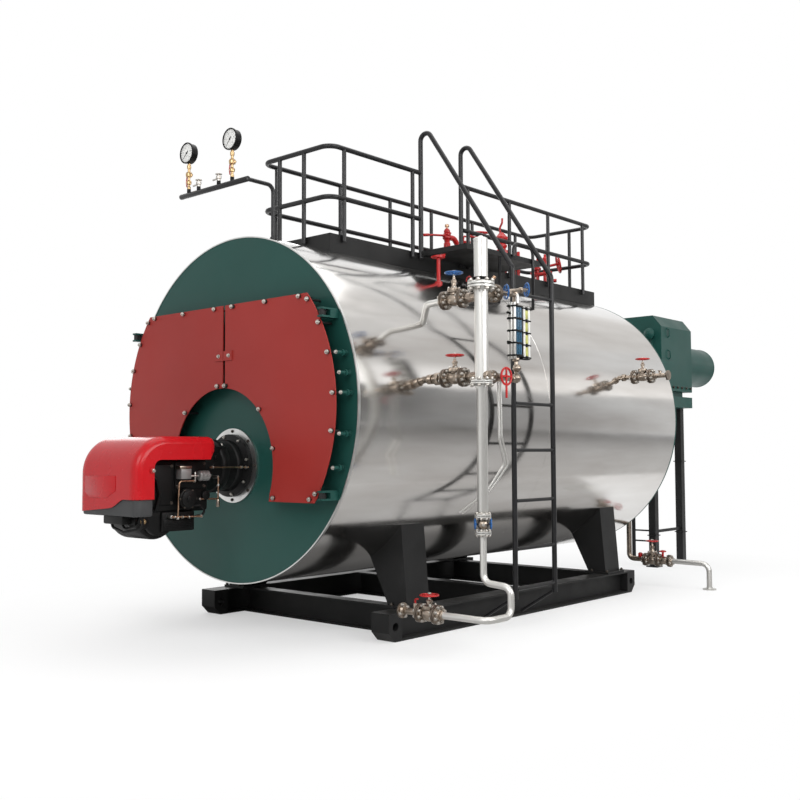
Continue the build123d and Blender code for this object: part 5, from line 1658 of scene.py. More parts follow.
@dataclass
class Gauges:
    """Pressure gauges on their header in front of the crown.

    Attributes:
        places: Places read from the frame.
        dial: Radius of a gauge.
        spots: X of each gauge.
        taps: X of each small valve.
        level: Height of the dials' centres.
        riser: X of the riser.
        face: How far the dials stand in front of their cases' backs.
    """

    places: Places
    dial: float = 0.075
    spots: Pair = (-0.305, 0.175)
    taps: Pair = (-0.193, 0.030)
    level: float = 3.384
    riser: float = 0.330
    face: float = 0.0478

    def build(self) -> None:
        """Make the header, the cocks and the dials."""
        low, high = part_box("gauge_header")
        self.y = low.y + 0.019
        self.header_level = high.z - 0.019
        shown(self.header(), "boiler", "pipe_black", ["gauge_header"])
        shown(self.cocks(), "boiler", "brass", ["gauge_cocks"])
        shown(self.dials(), "boiler", "gauge_case", ["pressure_gauges"])

    def header(self) -> Piece:
        """Riser, bend and the wide black header."""
        low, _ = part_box("gauge_header")
        y, z, back = self.y, self.header_level, self.places.back(0.062)
        foot = self.places.on_shell(self.riser) - 0.02
        points = [(self.riser, back, foot), (self.riser, back, z), (self.riser, y, z)]
        riser = pipe("riser", points, 0.0145, 0.050)
        head = rod("head", (low.x, y, z), (self.riser + 0.016, y, z), 0.019, 32, 0.006)
        base, top = (self.riser, back, foot + 0.012), (self.riser, back, foot + 0.034)
        collar = rod("collar", base, top, 0.024, 6, 0.002)
        black = joined("header_black", [riser, head, collar], Look.BLACK_TUBE)
        sockets = []
        for x in (*self.spots, *self.taps):
            sockets.append(rod("socket", (x, y, z + 0.012), (x, y, z + 0.042), 0.014, 16))
        dark = joined("sockets", sockets, Look.CAST_BLACK)
        valves = []
        for x in self.taps:
            valves.append(moved(turned("small_valve", SMALL_VALVE, 16), shift(x, y, z + 0.042)))
            wheel = HandWheel(0.024, 0.0035, 5, 0.006, 0.0).build("small_wheel", Look.BOLT)
            valves.append(moved(wheel, shift(x, y, z + 0.088)))
            tip = (x - 0.055, y - 0.006, z + 0.054)
            valves.append(rod("spout", (x, y, z + 0.060), tip, 0.006, 12))
        bright = joined("small_valves", valves, Look.BOLT)
        return joined("gauge_header_pipe", [black, dark, bright])

    def cocks(self) -> Piece:
        """Brass three-way cocks with red handles under the gauges."""
        brass, red = [], []
        y, foot = self.y, self.header_level + 0.038
        rise = self.level - self.dial + 0.001 - foot
        neck = [(0.015, rise - 0.012), (0.011, rise - 0.010), (0.011, rise), (0, rise)]
        for x in self.spots:
            brass.append(moved(turned("cock", [*COCK, *neck], 20), shift(x, y, foot)))
            z = foot + 0.103
            brass.append(rod("plug", (x - 0.026, y, z), (x + 0.034, y, z), 0.009, 16))
            points = [(x - 0.022, y, z), (x - 0.030, y, foot + 0.06), (x - 0.024, y, foot + 0.025)]
            red.append(pipe("handle", points, 0.0045, 0.01, 12))
        cocks = joined("cock_brass", brass, Look.BRASS)
        return joined("brass_cocks", [cocks, joined("cock_red", red, Look.RED_VALVE)])

    def dials(self) -> Piece:
        """Black cases with white dials, marks and hands."""
        pieces = []
        shares = (
            (0, 0), (0.9, 0), (0.94, 0.003), (0.94, 0.040), (1, 0.042), (1, 0.052), (0.97, 0.054),
            (0.90, 0.054), (0.89, 0.047), (0, 0.047),
        )
        for number, x in enumerate(self.spots):
            seat = aim((x, self.y + 0.026, self.level), -Y_AXIS)
            case = turned("case", [(self.dial * share, height) for share, height in shares], 64)
            dressed(case, Look.CAST_BLACK)
            face = rod("face", (0, 0, 0.0465), (0, 0, self.face), self.dial * 0.885, 64, 0.0002)
            dressed(face, Look.DIAL)
            marks = self.marks()
            hand = self.hand(222 + 6 * number)
            pieces.append(moved(joined("gauge", [case, face, marks, hand]), seat))
        return joined("gauge_dials", pieces)

    def marks(self) -> Piece:
        """Scale ticks and plain numbers round the dial."""
        ticks = []
        for step in range(26):
            turn = math.radians(225 - 270 * step / 25)
            inner = self.dial * (0.76 if step % 5 else 0.70)
            low, high = (inner, -0.0006, self.face), (self.dial * 0.82, 0.0006, self.face + 0.0004)
            bar = block("tick", low, high, 0.0001, 1)
            ticks.append(moved(bar, Matrix.Rotation(turn, 4, "Z")))
        for step in range(6):
            turn = math.radians(225 - 270 * step / 5)
            clear()
            bpy.ops.object.text_add()
            text = bpy.context.active_object
            text.data.body = str(step * 5)
            text.data.size = 0.011
            text.data.align_x, text.data.align_y = "CENTER", "CENTER"
            text.data.extrude = 0.0002
            pick(text)
            bpy.ops.object.convert(target="MESH")
            number = take("number")
            spot = Vector((math.cos(turn), math.sin(turn), 0)) * self.dial * 0.56
            ticks.append(moved(number, shift(spot.x, spot.y, self.face + 0.0002)))
        return joined("marks", ticks, Look.DIAL_MARK)

    def hand(self, angle: float) -> Piece:
        """Tapered hand on its boss, turned by an angle in degrees."""
        tip = self.dial * 0.70
        half = [(-0.020, 0.004), (0.0, 0.0035), (tip, 0.0006)]
        outline = [*((x, -y) for x, y in half), *reversed(half)]
        turn = Matrix.Rotation(math.radians(angle), 4, "Z")
        bar = plate("hand", outline, 0.0008, turn @ shift(0, 0, 0.0492))
        boss = rod("boss", (0, 0, self.face), (0, 0, 0.0515), 0.0065, 20)
        return joined("hand", [bar, boss], Look.DIAL_MARK)


@dataclass
class Platform:
    """Crown platform, landing, rails and ladder."""

    places: Places

    def build(self) -> None:
        """Dress the nodes and add the rungs' welds and the landing's tread."""
        tubes = (
            "rail_left_side", "rail_right_front", "rail_right_rear", "rail_front_end",
            "rail_rear_end",
            "ladder_stiles", "ladder_rungs", "ladder_braces", "landing_struts",
        )
        looks = dict.fromkeys(tubes, Look.BLACK_TUBE)
        looks |= dict.fromkeys(("deck_plate", "deck_boards", "landing_plate"), Look.BLACK)
        dress_nodes(looks)
        self.rung_welds()
        self.tread()

    def rung_welds(self) -> None:
        """Weld beads where the rungs meet the stiles."""
        low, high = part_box("ladder_rungs")
        x = (low.x + high.x) / 2
        frames = []
        for level in (0.275, 0.560, 0.905, 1.270, 1.610, 2.410):
            frames += [
                aim((x, low.y + 0.002, level), Y_AXIS), aim((x, high.y - 0.002, level), -Y_AXIS),
            ]
        bead = turned(
            "bead", [(0.0125, 0.006), (0.0150, 0.003), (0.0165, -0.002), (0.0125, -0.003)], 20, 80,
        )
        welds = patterned("rung_welds", bead, frames)
        shown(dressed(welds, Look.BLACK_TUBE), "boiler", "rail_black")

    def tread(self) -> None:
        """Raised tread bars on the landing."""
        low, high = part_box("landing_plate")
        margin, pitch = 0.035, 0.045
        rows = int((high.y - low.y) / pitch)
        columns = int((high.x - low.x - 0.05) / pitch)
        bar = block("tread_bar", (-0.011, -0.0025, 0), (0.011, 0.0025, 0.0015), 0.0008, 1)
        frames = []
        for row in range(rows):
            for column in range(columns):
                spot = shift(low.x + margin + column * pitch, low.y + margin + row * pitch, high.z)
                turn = math.radians(45 if (row + column) % 2 else -45)
                frames.append(spot @ Matrix.Rotation(turn, 4, "Z"))
        treads = patterned("landing_tread", bar, frames, Look.BLACK)
        shown(treads, "boiler", "rail_black")


@dataclass
class LevelColumn:
    """Water column with its branches, level gauge and drain.

    Attributes:
        places: Places read from the frame.
        x: Place of the column across the boiler.
        radius: Radius of the column.
        branch: Radius of the branch pipes.
        upper_level: Height of the steam branch.
        lower_level: Height of the water branch.
        drain_level: Height of the drain pipe.
        gauge_low: Height of the glass gauge's lower end.
        gauge_high: Height of its upper end.
    """

    places: Places
    x: float = 1.662
    radius: float = 0.0445
    branch: float = 0.024
    upper_level: float = 2.247
    lower_level: float = 1.737
    drain_level: float = 0.250
    gauge_low: float = 1.884
    gauge_high: float = 2.228

    def build(self) -> None:
        """Make the column and everything on it."""
        low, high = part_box("level_column")
        self.y = (low.y + high.y) / 2
        self.foot, self.top = low.z, high.z
        shown(self.column(), "boiler", "pipe_steel", ["level_column"])
        shown(self.upper(), "boiler", "valve_bronze", ["upper_branch"])
        shown(self.lower(), "boiler", "valve_bronze", ["lower_branch"])
        shown(self.gauge(), "boiler", "gauge_frame", ["level_gauge"])
        shown(self.tail(), "boiler", "pipe_steel", ["column_tail"])
        shown(self.drain(), "boiler", "valve_bronze", ["drain_valve"])

    def column(self) -> Piece:
        """Stainless column with a flanged joint, a capped top and a small plug."""
        x, y, radius, top = self.x, self.y, self.radius, self.top
        weld = radius + 0.0012
        profile = [
            (0, self.foot + 0.004), (radius, self.foot + 0.004), (radius, top - 0.030),
            (weld, top - 0.029), (weld, top - 0.024), (radius, top - 0.023), (radius, top - 0.005),
            (radius - 0.005, top), (0.016, top), (0.016, top + 0.010), (0.010, top + 0.014),
            (0, top + 0.014),
        ]
        shaft = dressed(turned("shaft", profile, 56), Look.PIPE_STEEL)
        lip = radius + 0.008
        seal = turned("seal", [(radius, 2.350), (lip, 2.352), (lip, 2.366), (radius, 2.368)], 48)
        dressed(seal, Look.RUBBER)
        for part in (shaft, seal):
            moved(part, shift(x, y, 0))
        joint = self.bright(flange_pair((x, y, 2.317), Z_AXIS, 0.086, radius, 0.016, 8))
        seat = (x, y, self.foot + 0.002)
        collar = self.bright(flange_pair(seat, Z_AXIS, 0.072, radius, 0.011, 8))
        route = (
            (0.060, 0.0, 2.352), (0.085, 0.01, 2.385), (0.105, 0.01, 2.372), (0.108, 0.01, 2.350),
        )
        hook = pipe("hook", [(x - dx, y - dy, z) for dx, dy, z in route], 0.0045, 0.010, 12)
        plug = rod(
            "pink_plug", (x + 0.050, y + 0.045, 2.345), (x + 0.068, y + 0.060, 2.372), 0.012, 16,
        )
        tees = [
            rod("tee", (x - 0.078, y, level), (x + reach, y, level), 0.031, 32)
            for level, reach in ((self.upper_level, 0.0), (self.lower_level, 0.058))
        ]
        sockets = joined("sockets", tees, Look.VALVE_STEEL)
        small = [dressed(hook, Look.RED_VALVE), dressed(plug, Look.COPPER), sockets]
        return joined("column_shaft", [shaft, seal, joint, collar, *small])

    def bright(self, piece: Piece) -> Piece:
        """Turn the valve steel of a joint, and the painted shade on its flange rims, into bright
        pipe steel.
        """
        dull = (Look.VALVE_STEEL.material(), Look.FLANGE_EDGE.material())
        for number, material in enumerate(piece.data.materials):
            if material in dull:
                piece.data.materials[number] = Look.PIPE_STEEL.material()
        return piece

    def valve_at(self, x: float, level: float, rise: float) -> Piece:
        """Branch valve at a place along the branch."""
        valve = Valve(0.142, self.branch, 0.062, rise).build()
        return moved(valve, shift(x, self.y, level))

    def upper(self) -> Piece:
        """Steam branch with its valve and the elbow onto the shell."""
        level, x, y, end = self.upper_level, 1.443, self.y, self.x
        valve = self.valve_at(x, level, 0.175)
        run = rod("run", (x + 0.08, y, level), (end - 0.04, y, level), self.branch, 28)
        shell = (1.052, self.places.back(0.790), 2.142)
        corners = [(x - 0.08, y, level), (1.215, y, level - 0.01), shell]
        elbow = pipe("elbow", corners, self.branch * 0.96, 0.05, 28)
        neck = rod("neck", (end - 0.12, y, level), (end - 0.07, y, level), self.branch * 1.35, 28)
        weld = ring("weld", shell, (0.65, -0.57, 0.44), self.branch * 0.98, 0.004, 32)
        pipes = joined("upper_pipes", [elbow, weld], Look.PIPE_STEEL)
        inner = joined("upper_inner", [run, neck], Look.VALVE_STEEL)
        return joined("upper_branch_pipe", [valve, pipes, inner])

    def lower(self) -> Piece:
        """Water branch with its valve, a union and a collar at the shell."""
        level, x = self.lower_level, 1.446
        valve = self.valve_at(x, level, 0.146)
        reach = math.sqrt(self.places.radius**2 - (level - self.places.axis) ** 2)
        pipes = []
        for name, start, end, radius, shape in (
            ("run", x + 0.08, self.x - 0.04, self.branch, (28,)),
            ("inner", reach - 0.004, x - 0.08, self.branch * 0.95, (28,)),
            ("nut", 1.282, 1.322, self.branch * 1.75, (8, 0.003)),
            ("collar", 1.222, 1.262, self.branch * 1.35, (28,)),
        ):
            pipes.append(rod(name, (start, self.y, level), (end, self.y, level), radius, *shape))
        return joined("lower_branch_pipe", [valve, joined("lower_pipes", pipes, Look.VALVE_STEEL)])

    def gauge(self) -> Piece:
        """Glass gauge, its cocks and the windowed strip beside it."""
        glass, low, high = self.places.back(1.020), self.gauge_low, self.gauge_high
        parts = [*self.glass_body(glass, low, high), *self.strip(glass + 0.050, low, high)]
        return joined("level_gauge_glass", [*parts, *self.gauge_cocks(glass, low, high)])

    def glass_body(self, y: float, low: float, high: float) -> list[Piece]:
        """Rods, back, glass bars and clamps of the gauge, from one height to another."""
        x = self.x
        rods = []
        for dx, dy in ((0.022, -0.044), (0.000, -0.046), (-0.024, -0.040), (-0.024, 0.030)):
            foot, top = (x + dx, y + dy, low - 0.016), (x + dx, y + dy, high + 0.016)
            rods.append(rod("gauge_rod", foot, top, 0.0095, 20))
        back = block("gauge_back", (x - 0.028, y - 0.036, low), (x + 0.010, y + 0.040, high), 0.004)
        steel = joined("gauge_rods", [*rods, back], Look.PIPE_STEEL)
        bars = []
        for start in (-0.030, -0.008, 0.014):
            foot = (x + 0.006, y + start, low + 0.004)
            top = (x + 0.027, y + start + 0.019, high - 0.004)
            bars.append(block("glass_bar", foot, top, 0.004))
        glass = joined("gauge_glass", bars, Look.GAUGE_GLASS)
        clamps = [
            rod("divider", (x + 0.020, y + dy, low), (x + 0.020, y + dy, high), 0.004, 12)
            for dy in (-0.0095, 0.0125, 0.036)
        ]
        front, side = y - 0.054, y - 0.048
        for step in range(5):
            z = low + 0.008 + (high - low - 0.016) * step / 4
            left, right = (x - 0.034, y - 0.056, z - 0.006), (x + 0.033, y + 0.044, z + 0.006)
            clamps.append(block("clamp", left, right, 0.003))
            for start, end, radius in (
                ((x - 0.010, front, z), (x - 0.010, y - 0.072, z), 0.0075),
                ((x + 0.031, side, z), (x + 0.041, side, z), 0.0065),
            ):
                clamps.append(rod("knob", start, end, radius, 6, 0.001))
        for z in (high - 0.055, low + 0.095):
            knob = rod(
                "drain_knob", (x - 0.005, front, z), (x - 0.005, y - 0.088, z), 0.008, 16, 0.002,
            )
            clamps.append(knob)
        return [steel, glass, joined("gauge_clamps", clamps, Look.CAST_BLACK)]

    def strip(self, left: float, low: float, high: float) -> list[Piece]:
        """Black strip with four yellow windows between white rails."""
        x, right = self.x, self.places.back(1.168)
        back = block(
            "strip", (x - 0.024, left, low - 0.012), (x + 0.016, right, high - 0.002), 0.004,
        )
        rails, bridges, panes = [], [], []
        for y in (left + 0.020, right - 0.022):
            foot, top = (x + 0.012, y - 0.011, low - 0.006), (x + 0.023, y + 0.011, high - 0.004)
            rails.append(block("strip_rail", foot, top, 0.002))
        pitch = (high - low - 0.014) / 4
        for step in range(5):
            z = low + pitch * step
            near, far = (x + 0.010, left + 0.006, z - 0.005), (x + 0.026, right - 0.004, z + 0.005)
            bridges.append(block("bridge", near, far, 0.002))
        for step in range(4):
            foot, top = low + pitch * step + 0.012, low + pitch * (step + 1) - 0.012
            near, far = (x + 0.008, left + 0.032, foot), (x + 0.020, right - 0.034, top)
            panes.append(block("pane", near, far, 0.001))
        return [
            dressed(back, Look.CAST_BLACK),
            joined("strip_rails", rails, Look.FRAME_WHITE),
            joined("strip_bridges", bridges, Look.CAST_BLACK),
            joined("strip_panes", panes, Look.WINDOW),
        ]

    def ball(self, x: float, y: float, z: float, radius: float) -> Piece:
        """Barrel-shaped fitting body."""
        shares = ((0, -0.95), (0.72, -0.68), (1, 0), (0.72, 0.68), (0, 0.95))
        profile = [(radius * out, radius * up) for out, up in shares]
        return moved(turned("ball", profile, 24, 80), shift(x, y, z))

    def gauge_cocks(self, y: float, low: float, high: float) -> list[Piece]:
        """Cocks, hand wheels and pipes that carry the glass gauge at a place along Y."""
        x, upper, lower = self.x, 2.302, self.lower_level
        out = self.y + self.radius
        steel = []
        for name, start, end, radius, *shape in (
            ("arm", (out, upper - 0.035), (self.y + 0.120, upper - 0.035), 0.017, 24),
            ("arm", (self.y + 0.180, upper - 0.010), (y, upper - 0.004), 0.016, 24),
            ("arm", (out, lower), (y - 0.005, lower), 0.017, 24),
            ("drop", (y, high + 0.004), (y, upper + 0.014), 0.019, 24),
            ("drop", (y, lower - 0.026), (y, low), 0.013, 24),
            ("cross_arm", (y - 0.090, upper + 0.010), (y + 0.130, upper + 0.046), 0.0135, 20),
            ("union", (y + 0.050, upper + 0.033), (y + 0.078, upper + 0.037), 0.020, 8, 0.002),
            ("union", (y - 0.085, upper - 0.004), (y - 0.055, upper - 0.004), 0.021, 8, 0.002),
            ("low_union", (y, low - 0.030), (y, low - 0.006), 0.024, 8, 0.002),
            ("low_cock", (y - 0.228, lower), (y - 0.182, lower), 0.028, 24, 0.004),
            ("low_nut", (y - 0.060, lower), (y - 0.034, lower), 0.026, 8, 0.002),
        ):
            steel.append(rod(name, (x, *start), (x, *end), radius, *shape))
        steel.append(self.ball(x + 0.004, y + 0.004, lower + 0.072, 0.030))
        steel.append(self.ball(x, y, lower + 0.006, 0.034))
        parts = [joined("cock_steel", steel, Look.VALVE_STEEL)]
        route = [(x + 0.004, y + 0.01, upper), (x + 0.018, y - 0.006, upper - 0.010)]
        bend = pipe(
            "silver_drop", [*route, (x + 0.018, y - 0.006, high + 0.010)], 0.0125, 0.012, 20,
        )
        parts.append(dressed(bend, Look.PIPE_STEEL))
        high_seat, low_seat = (x, self.y + 0.150, upper - 0.022), (x, self.y + 0.110, lower)
        parts.append(flange_pair(high_seat, Y_AXIS, 0.060, 0.017, 0.012, 8))
        parts.append(flange_pair(low_seat, Y_AXIS, 0.044, 0.017, 0.010, 6))
        for along, radius, rise in ((-0.105, 0.052, 0.004), (0.132, 0.050, 0.046)):
            wheel = HandWheel(radius, 0.0050, 5, 0.009).build("blue_wheel", Look.BLUE_WHEEL)
            parts.append(moved(wheel, aim((x, y + along, upper + rise), (0.55, 0.83, 0))))
        red_y, out = y - 0.205, x + 0.066
        red = HandWheel(0.062, 0.0075, 4, 0.012).build("red_wheel", Look.RED_VALVE)
        moved(red, aim((out, red_y, lower + 0.004), X_AXIS))
        stem = rod(
            "stem", (x + 0.015, red_y, lower + 0.004), (x + 0.072, red_y, lower + 0.004), 0.009, 16,
        )
        lever = rod("lever", (out, red_y, lower - 0.058), (out, red_y, lower - 0.135), 0.0075, 12)
        parts += [red, dressed(stem, Look.VALVE_STEEL), dressed(lever, Look.RED_VALVE)]
        turn = self.places.back(0.958)
        thick = [(x, red_y, lower - 0.02), (x, red_y + 0.006, 1.34), (x - 0.02, turn - 0.05, 1.18)]
        thick += [(x - 0.10, turn - 0.14, 1.00), (x - 0.30, turn - 0.17, 0.86)]
        near = x - 0.012
        thin = [(near, red_y + 0.045, lower - 0.02), (near, red_y + 0.050, 1.36)]
        thin += [
            (x - 0.03, turn, 1.17), (x - 0.11, turn - 0.09, 1.00), (x - 0.31, turn - 0.13, 0.85),
        ]
        drains = []
        for points, radius in ((thick, 0.009), (thin, 0.007)):
            drains.append(pipe("drain_silver", points, radius, 0.05, 14))
        return [*parts, joined("gauge_drains", drains, Look.PIPE_STEEL)]

    def tail(self) -> Piece:
        """Drain pipe under the column, wide above its cock and narrow below."""
        x, y, level, out = self.x, self.y, self.drain_level, 1.870
        end = self.places.back(0.400)
        points = [
            (x, y, 0.90), (x, y, 0.440), (out, y, 0.424), (out, y, level), (out, end, level),
            (1.532, end, level),
        ]
        tube = pipe("tail_pipe", points, 0.0215, 0.058, 32)
        profile = [
            (0, 0.872), (0.028, 0.872), (0.0345, 0.884), (0.0345, 1.640), (0.0385, 1.650),
            (0.0385, 1.672), (0.044, 1.678), (0.044, self.foot), (0, self.foot),
        ]
        wide = moved(turned("wide_pipe", profile, 48), shift(x, y, 0))
        parts = [joined("tail_silver", [tube, wide], Look.PIPE_STEEL)]
        for z in (0.854, 0.748):
            parts.append(self.bright(flange_pair((x, y, z), Z_AXIS, 0.052, 0.024, 0.010, 8)))
        parts.append(dressed(self.ball(x, y, 0.801, 0.040), Look.VALVE_STEEL))
        middle = Vector((x, y, 0.801))
        side, across = Vector((0.66, -0.75, 0.0)), Vector((0.75, 0.66, 0.0))
        spindle = rod("spindle", middle + side * 0.03, middle + side * 0.062, 0.010, 16)
        parts.append(dressed(spindle, Look.BOLT))
        for sign in (1, -1):
            wheel = HandWheel(0.036, 0.0055, 5, 0.009).build("small_blue", Look.BLUE_WHEEL)
            seat = Vector((x, y, 0.805)) + across * sign * 0.050
            parts.append(moved(wheel, aim(seat, across * sign)))
        return joined("tail_drain_pipe", parts)

    def drain(self) -> Piece:
        """Flanged drain valve at the end of the pipe."""
        low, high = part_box("drain_valve")
        x, y, level = 1.420, self.places.back(0.400), self.drain_level
        valve = moved(Valve(0.130, 0.027, 0.060, 0.115).build(), shift(x, y, level))
        outlet = rod("outlet", (low.x + 0.002, y, level), (x - 0.07, y, level), 0.022, 28)
        inlet = rod("inlet", (x + 0.07, y, level), (high.x + 0.004, y, level), 0.026, 28)
        seat, near = x - 0.098, y - 0.02
        tip = (x - 0.060, y - 0.04, level + 0.090)
        points = [(seat, near, level + 0.055), (seat, near, level + 0.085), tip]
        lever = dressed(pipe("small_lever", points, 0.0055, 0.008, 12), Look.RED_VALVE)
        boss = rod(
            "lever_boss", (seat, near, level + 0.010), (seat, near, level + 0.058), 0.013, 16,
        )
        pipes = joined("drain_pipes", [outlet, inlet, boss], Look.VALVE_STEEL)
        end = moved(bolted_flange(0.050, 0.014, 0.022, 4, 0.012), aim((low.x, y, level), X_AXIS))
        return joined("drain_valve_set", [valve, pipes, end, lever])


@dataclass
class SideLines:
    """Feed line on the rear quarter and blowdown line behind the drum."""

    places: Places

    def build(self) -> None:
        """Make both lines."""
        shown(self.feed(), "boiler", "valve_bronze", ["feed_line"])
        shown(self.blowdown(), "boiler", "valve_bronze", ["blowdown_line"])

    def feed(self) -> Piece:
        """Feed pipe with its valve and end flange."""
        low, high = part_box("feed_line")
        y = (low.y + high.y) / 2
        level, x = 1.895, 1.375
        valve = moved(Valve(0.150, 0.022, 0.060, 0.150).build(), shift(x, y, level))
        run = rod("run", (low.x - 0.002, y, level), (high.x - 0.004, y, level), 0.019, 28)
        boss = rod("boss", (1.178, y, level), (1.214, y, level), 0.031, 6, 0.002)
        plug = rod("plug", (1.535, y, level), (1.535, y, level + 0.036), 0.012, 16)
        top = level + 0.038
        bar = rod("plug_bar", (1.535, y - 0.03, top), (1.535, y + 0.03, top), 0.006, 12)
        pipes = joined("feed_pipes", [run, boss, plug, bar], Look.VALVE_STEEL)
        end = moved(bolted_flange(0.042, 0.012, 0.020, 4, 0.010), aim((high.x, y, level), -X_AXIS))
        return joined("feed_line_pipe", [valve, pipes, end])

    def blowdown(self) -> Piece:
        """Blowdown pipe with two valves and its floor flange."""
        rear = self.places.rear
        y, level, drop_x, foot_x = rear + 0.059, 0.235, 0.657, 1.464
        route = [(drop_x, rear, 0.665), (drop_x, y, 0.665), (drop_x, y, 0.300)]
        drop = dressed(pipe("drop", route, 0.024, 0.030, 24), Look.VALVE_STEEL)
        route = [(drop_x, y, 0.305), (drop_x, y, level), (0.83, y, level)]
        bend = pipe("bend", route, 0.024, 0.050, 24)
        run = pipe("run", [(0.83, y, level), (1.065, y, level)], 0.022, 0.0, 24)
        dark = joined("blow_dark", [bend, run], Look.VALVE_STEEL)
        route = [(1.075, y, level), (foot_x, y, level - 0.004), (foot_x, y, 0.010)]
        parts = [drop, dark, dressed(pipe("blow_pipe", route, 0.024, 0.070, 28), Look.PIPE_STEEL)]
        parts.append(moved(Valve(0.125, 0.026, 0.060, 0.176).build(), shift(0.900, y, level)))
        for name, profile, steps, frame, look in (
            ("lever_body", LEVER_BODY, 28, aim((1.012, y, level), X_AXIS), Look.VALVE_STEEL),
            ("lever_knob", LEVER_KNOB, 12, shift(1.008, y, level + 0.030), Look.RED_VALVE),
            ("red_cap", RED_CAP, 16, shift(0.775, y, level + 0.022), Look.RED_VALVE),
            ("foot", FOOT_FLANGE, 40, shift(foot_x, y, 0), Look.PIPE_STEEL),
        ):
            parts.append(dressed(moved(turned(name, profile, steps), frame), look))
        parts.append(flange_pair((1.079, y, level), X_AXIS, 0.056, 0.024, 0.013, 6))
        return joined("blowdown_pipe", parts)


@dataclass
class Wheels:
    """The five hand wheels that turn."""

    def build(self) -> None:
        """Put a wheel on each turning body."""
        rows = (
            ("upper_wheel", "wheel_upper_branch", Look.BLUE_WHEEL, "wheel_blue"),
            ("lower_wheel", "wheel_lower_branch", Look.RED_VALVE, "wheel_red"),
            ("drain_wheel", "wheel_drain", Look.RED_VALVE, "wheel_red"),
            ("feed_wheel", "wheel_feed", Look.RED_VALVE, "wheel_red"),
            ("blowdown_wheel", "wheel_blowdown", Look.RED_VALVE, "wheel_red"),
        )
        for body, node, look, slot in rows:
            low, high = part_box(node)
            wheel = HandWheel((high.x - low.x) / 2).build(f"{body}_casting", look)
            shown(moved(wheel, Matrix.Translation((low + high) / 2)), body, slot, [node])


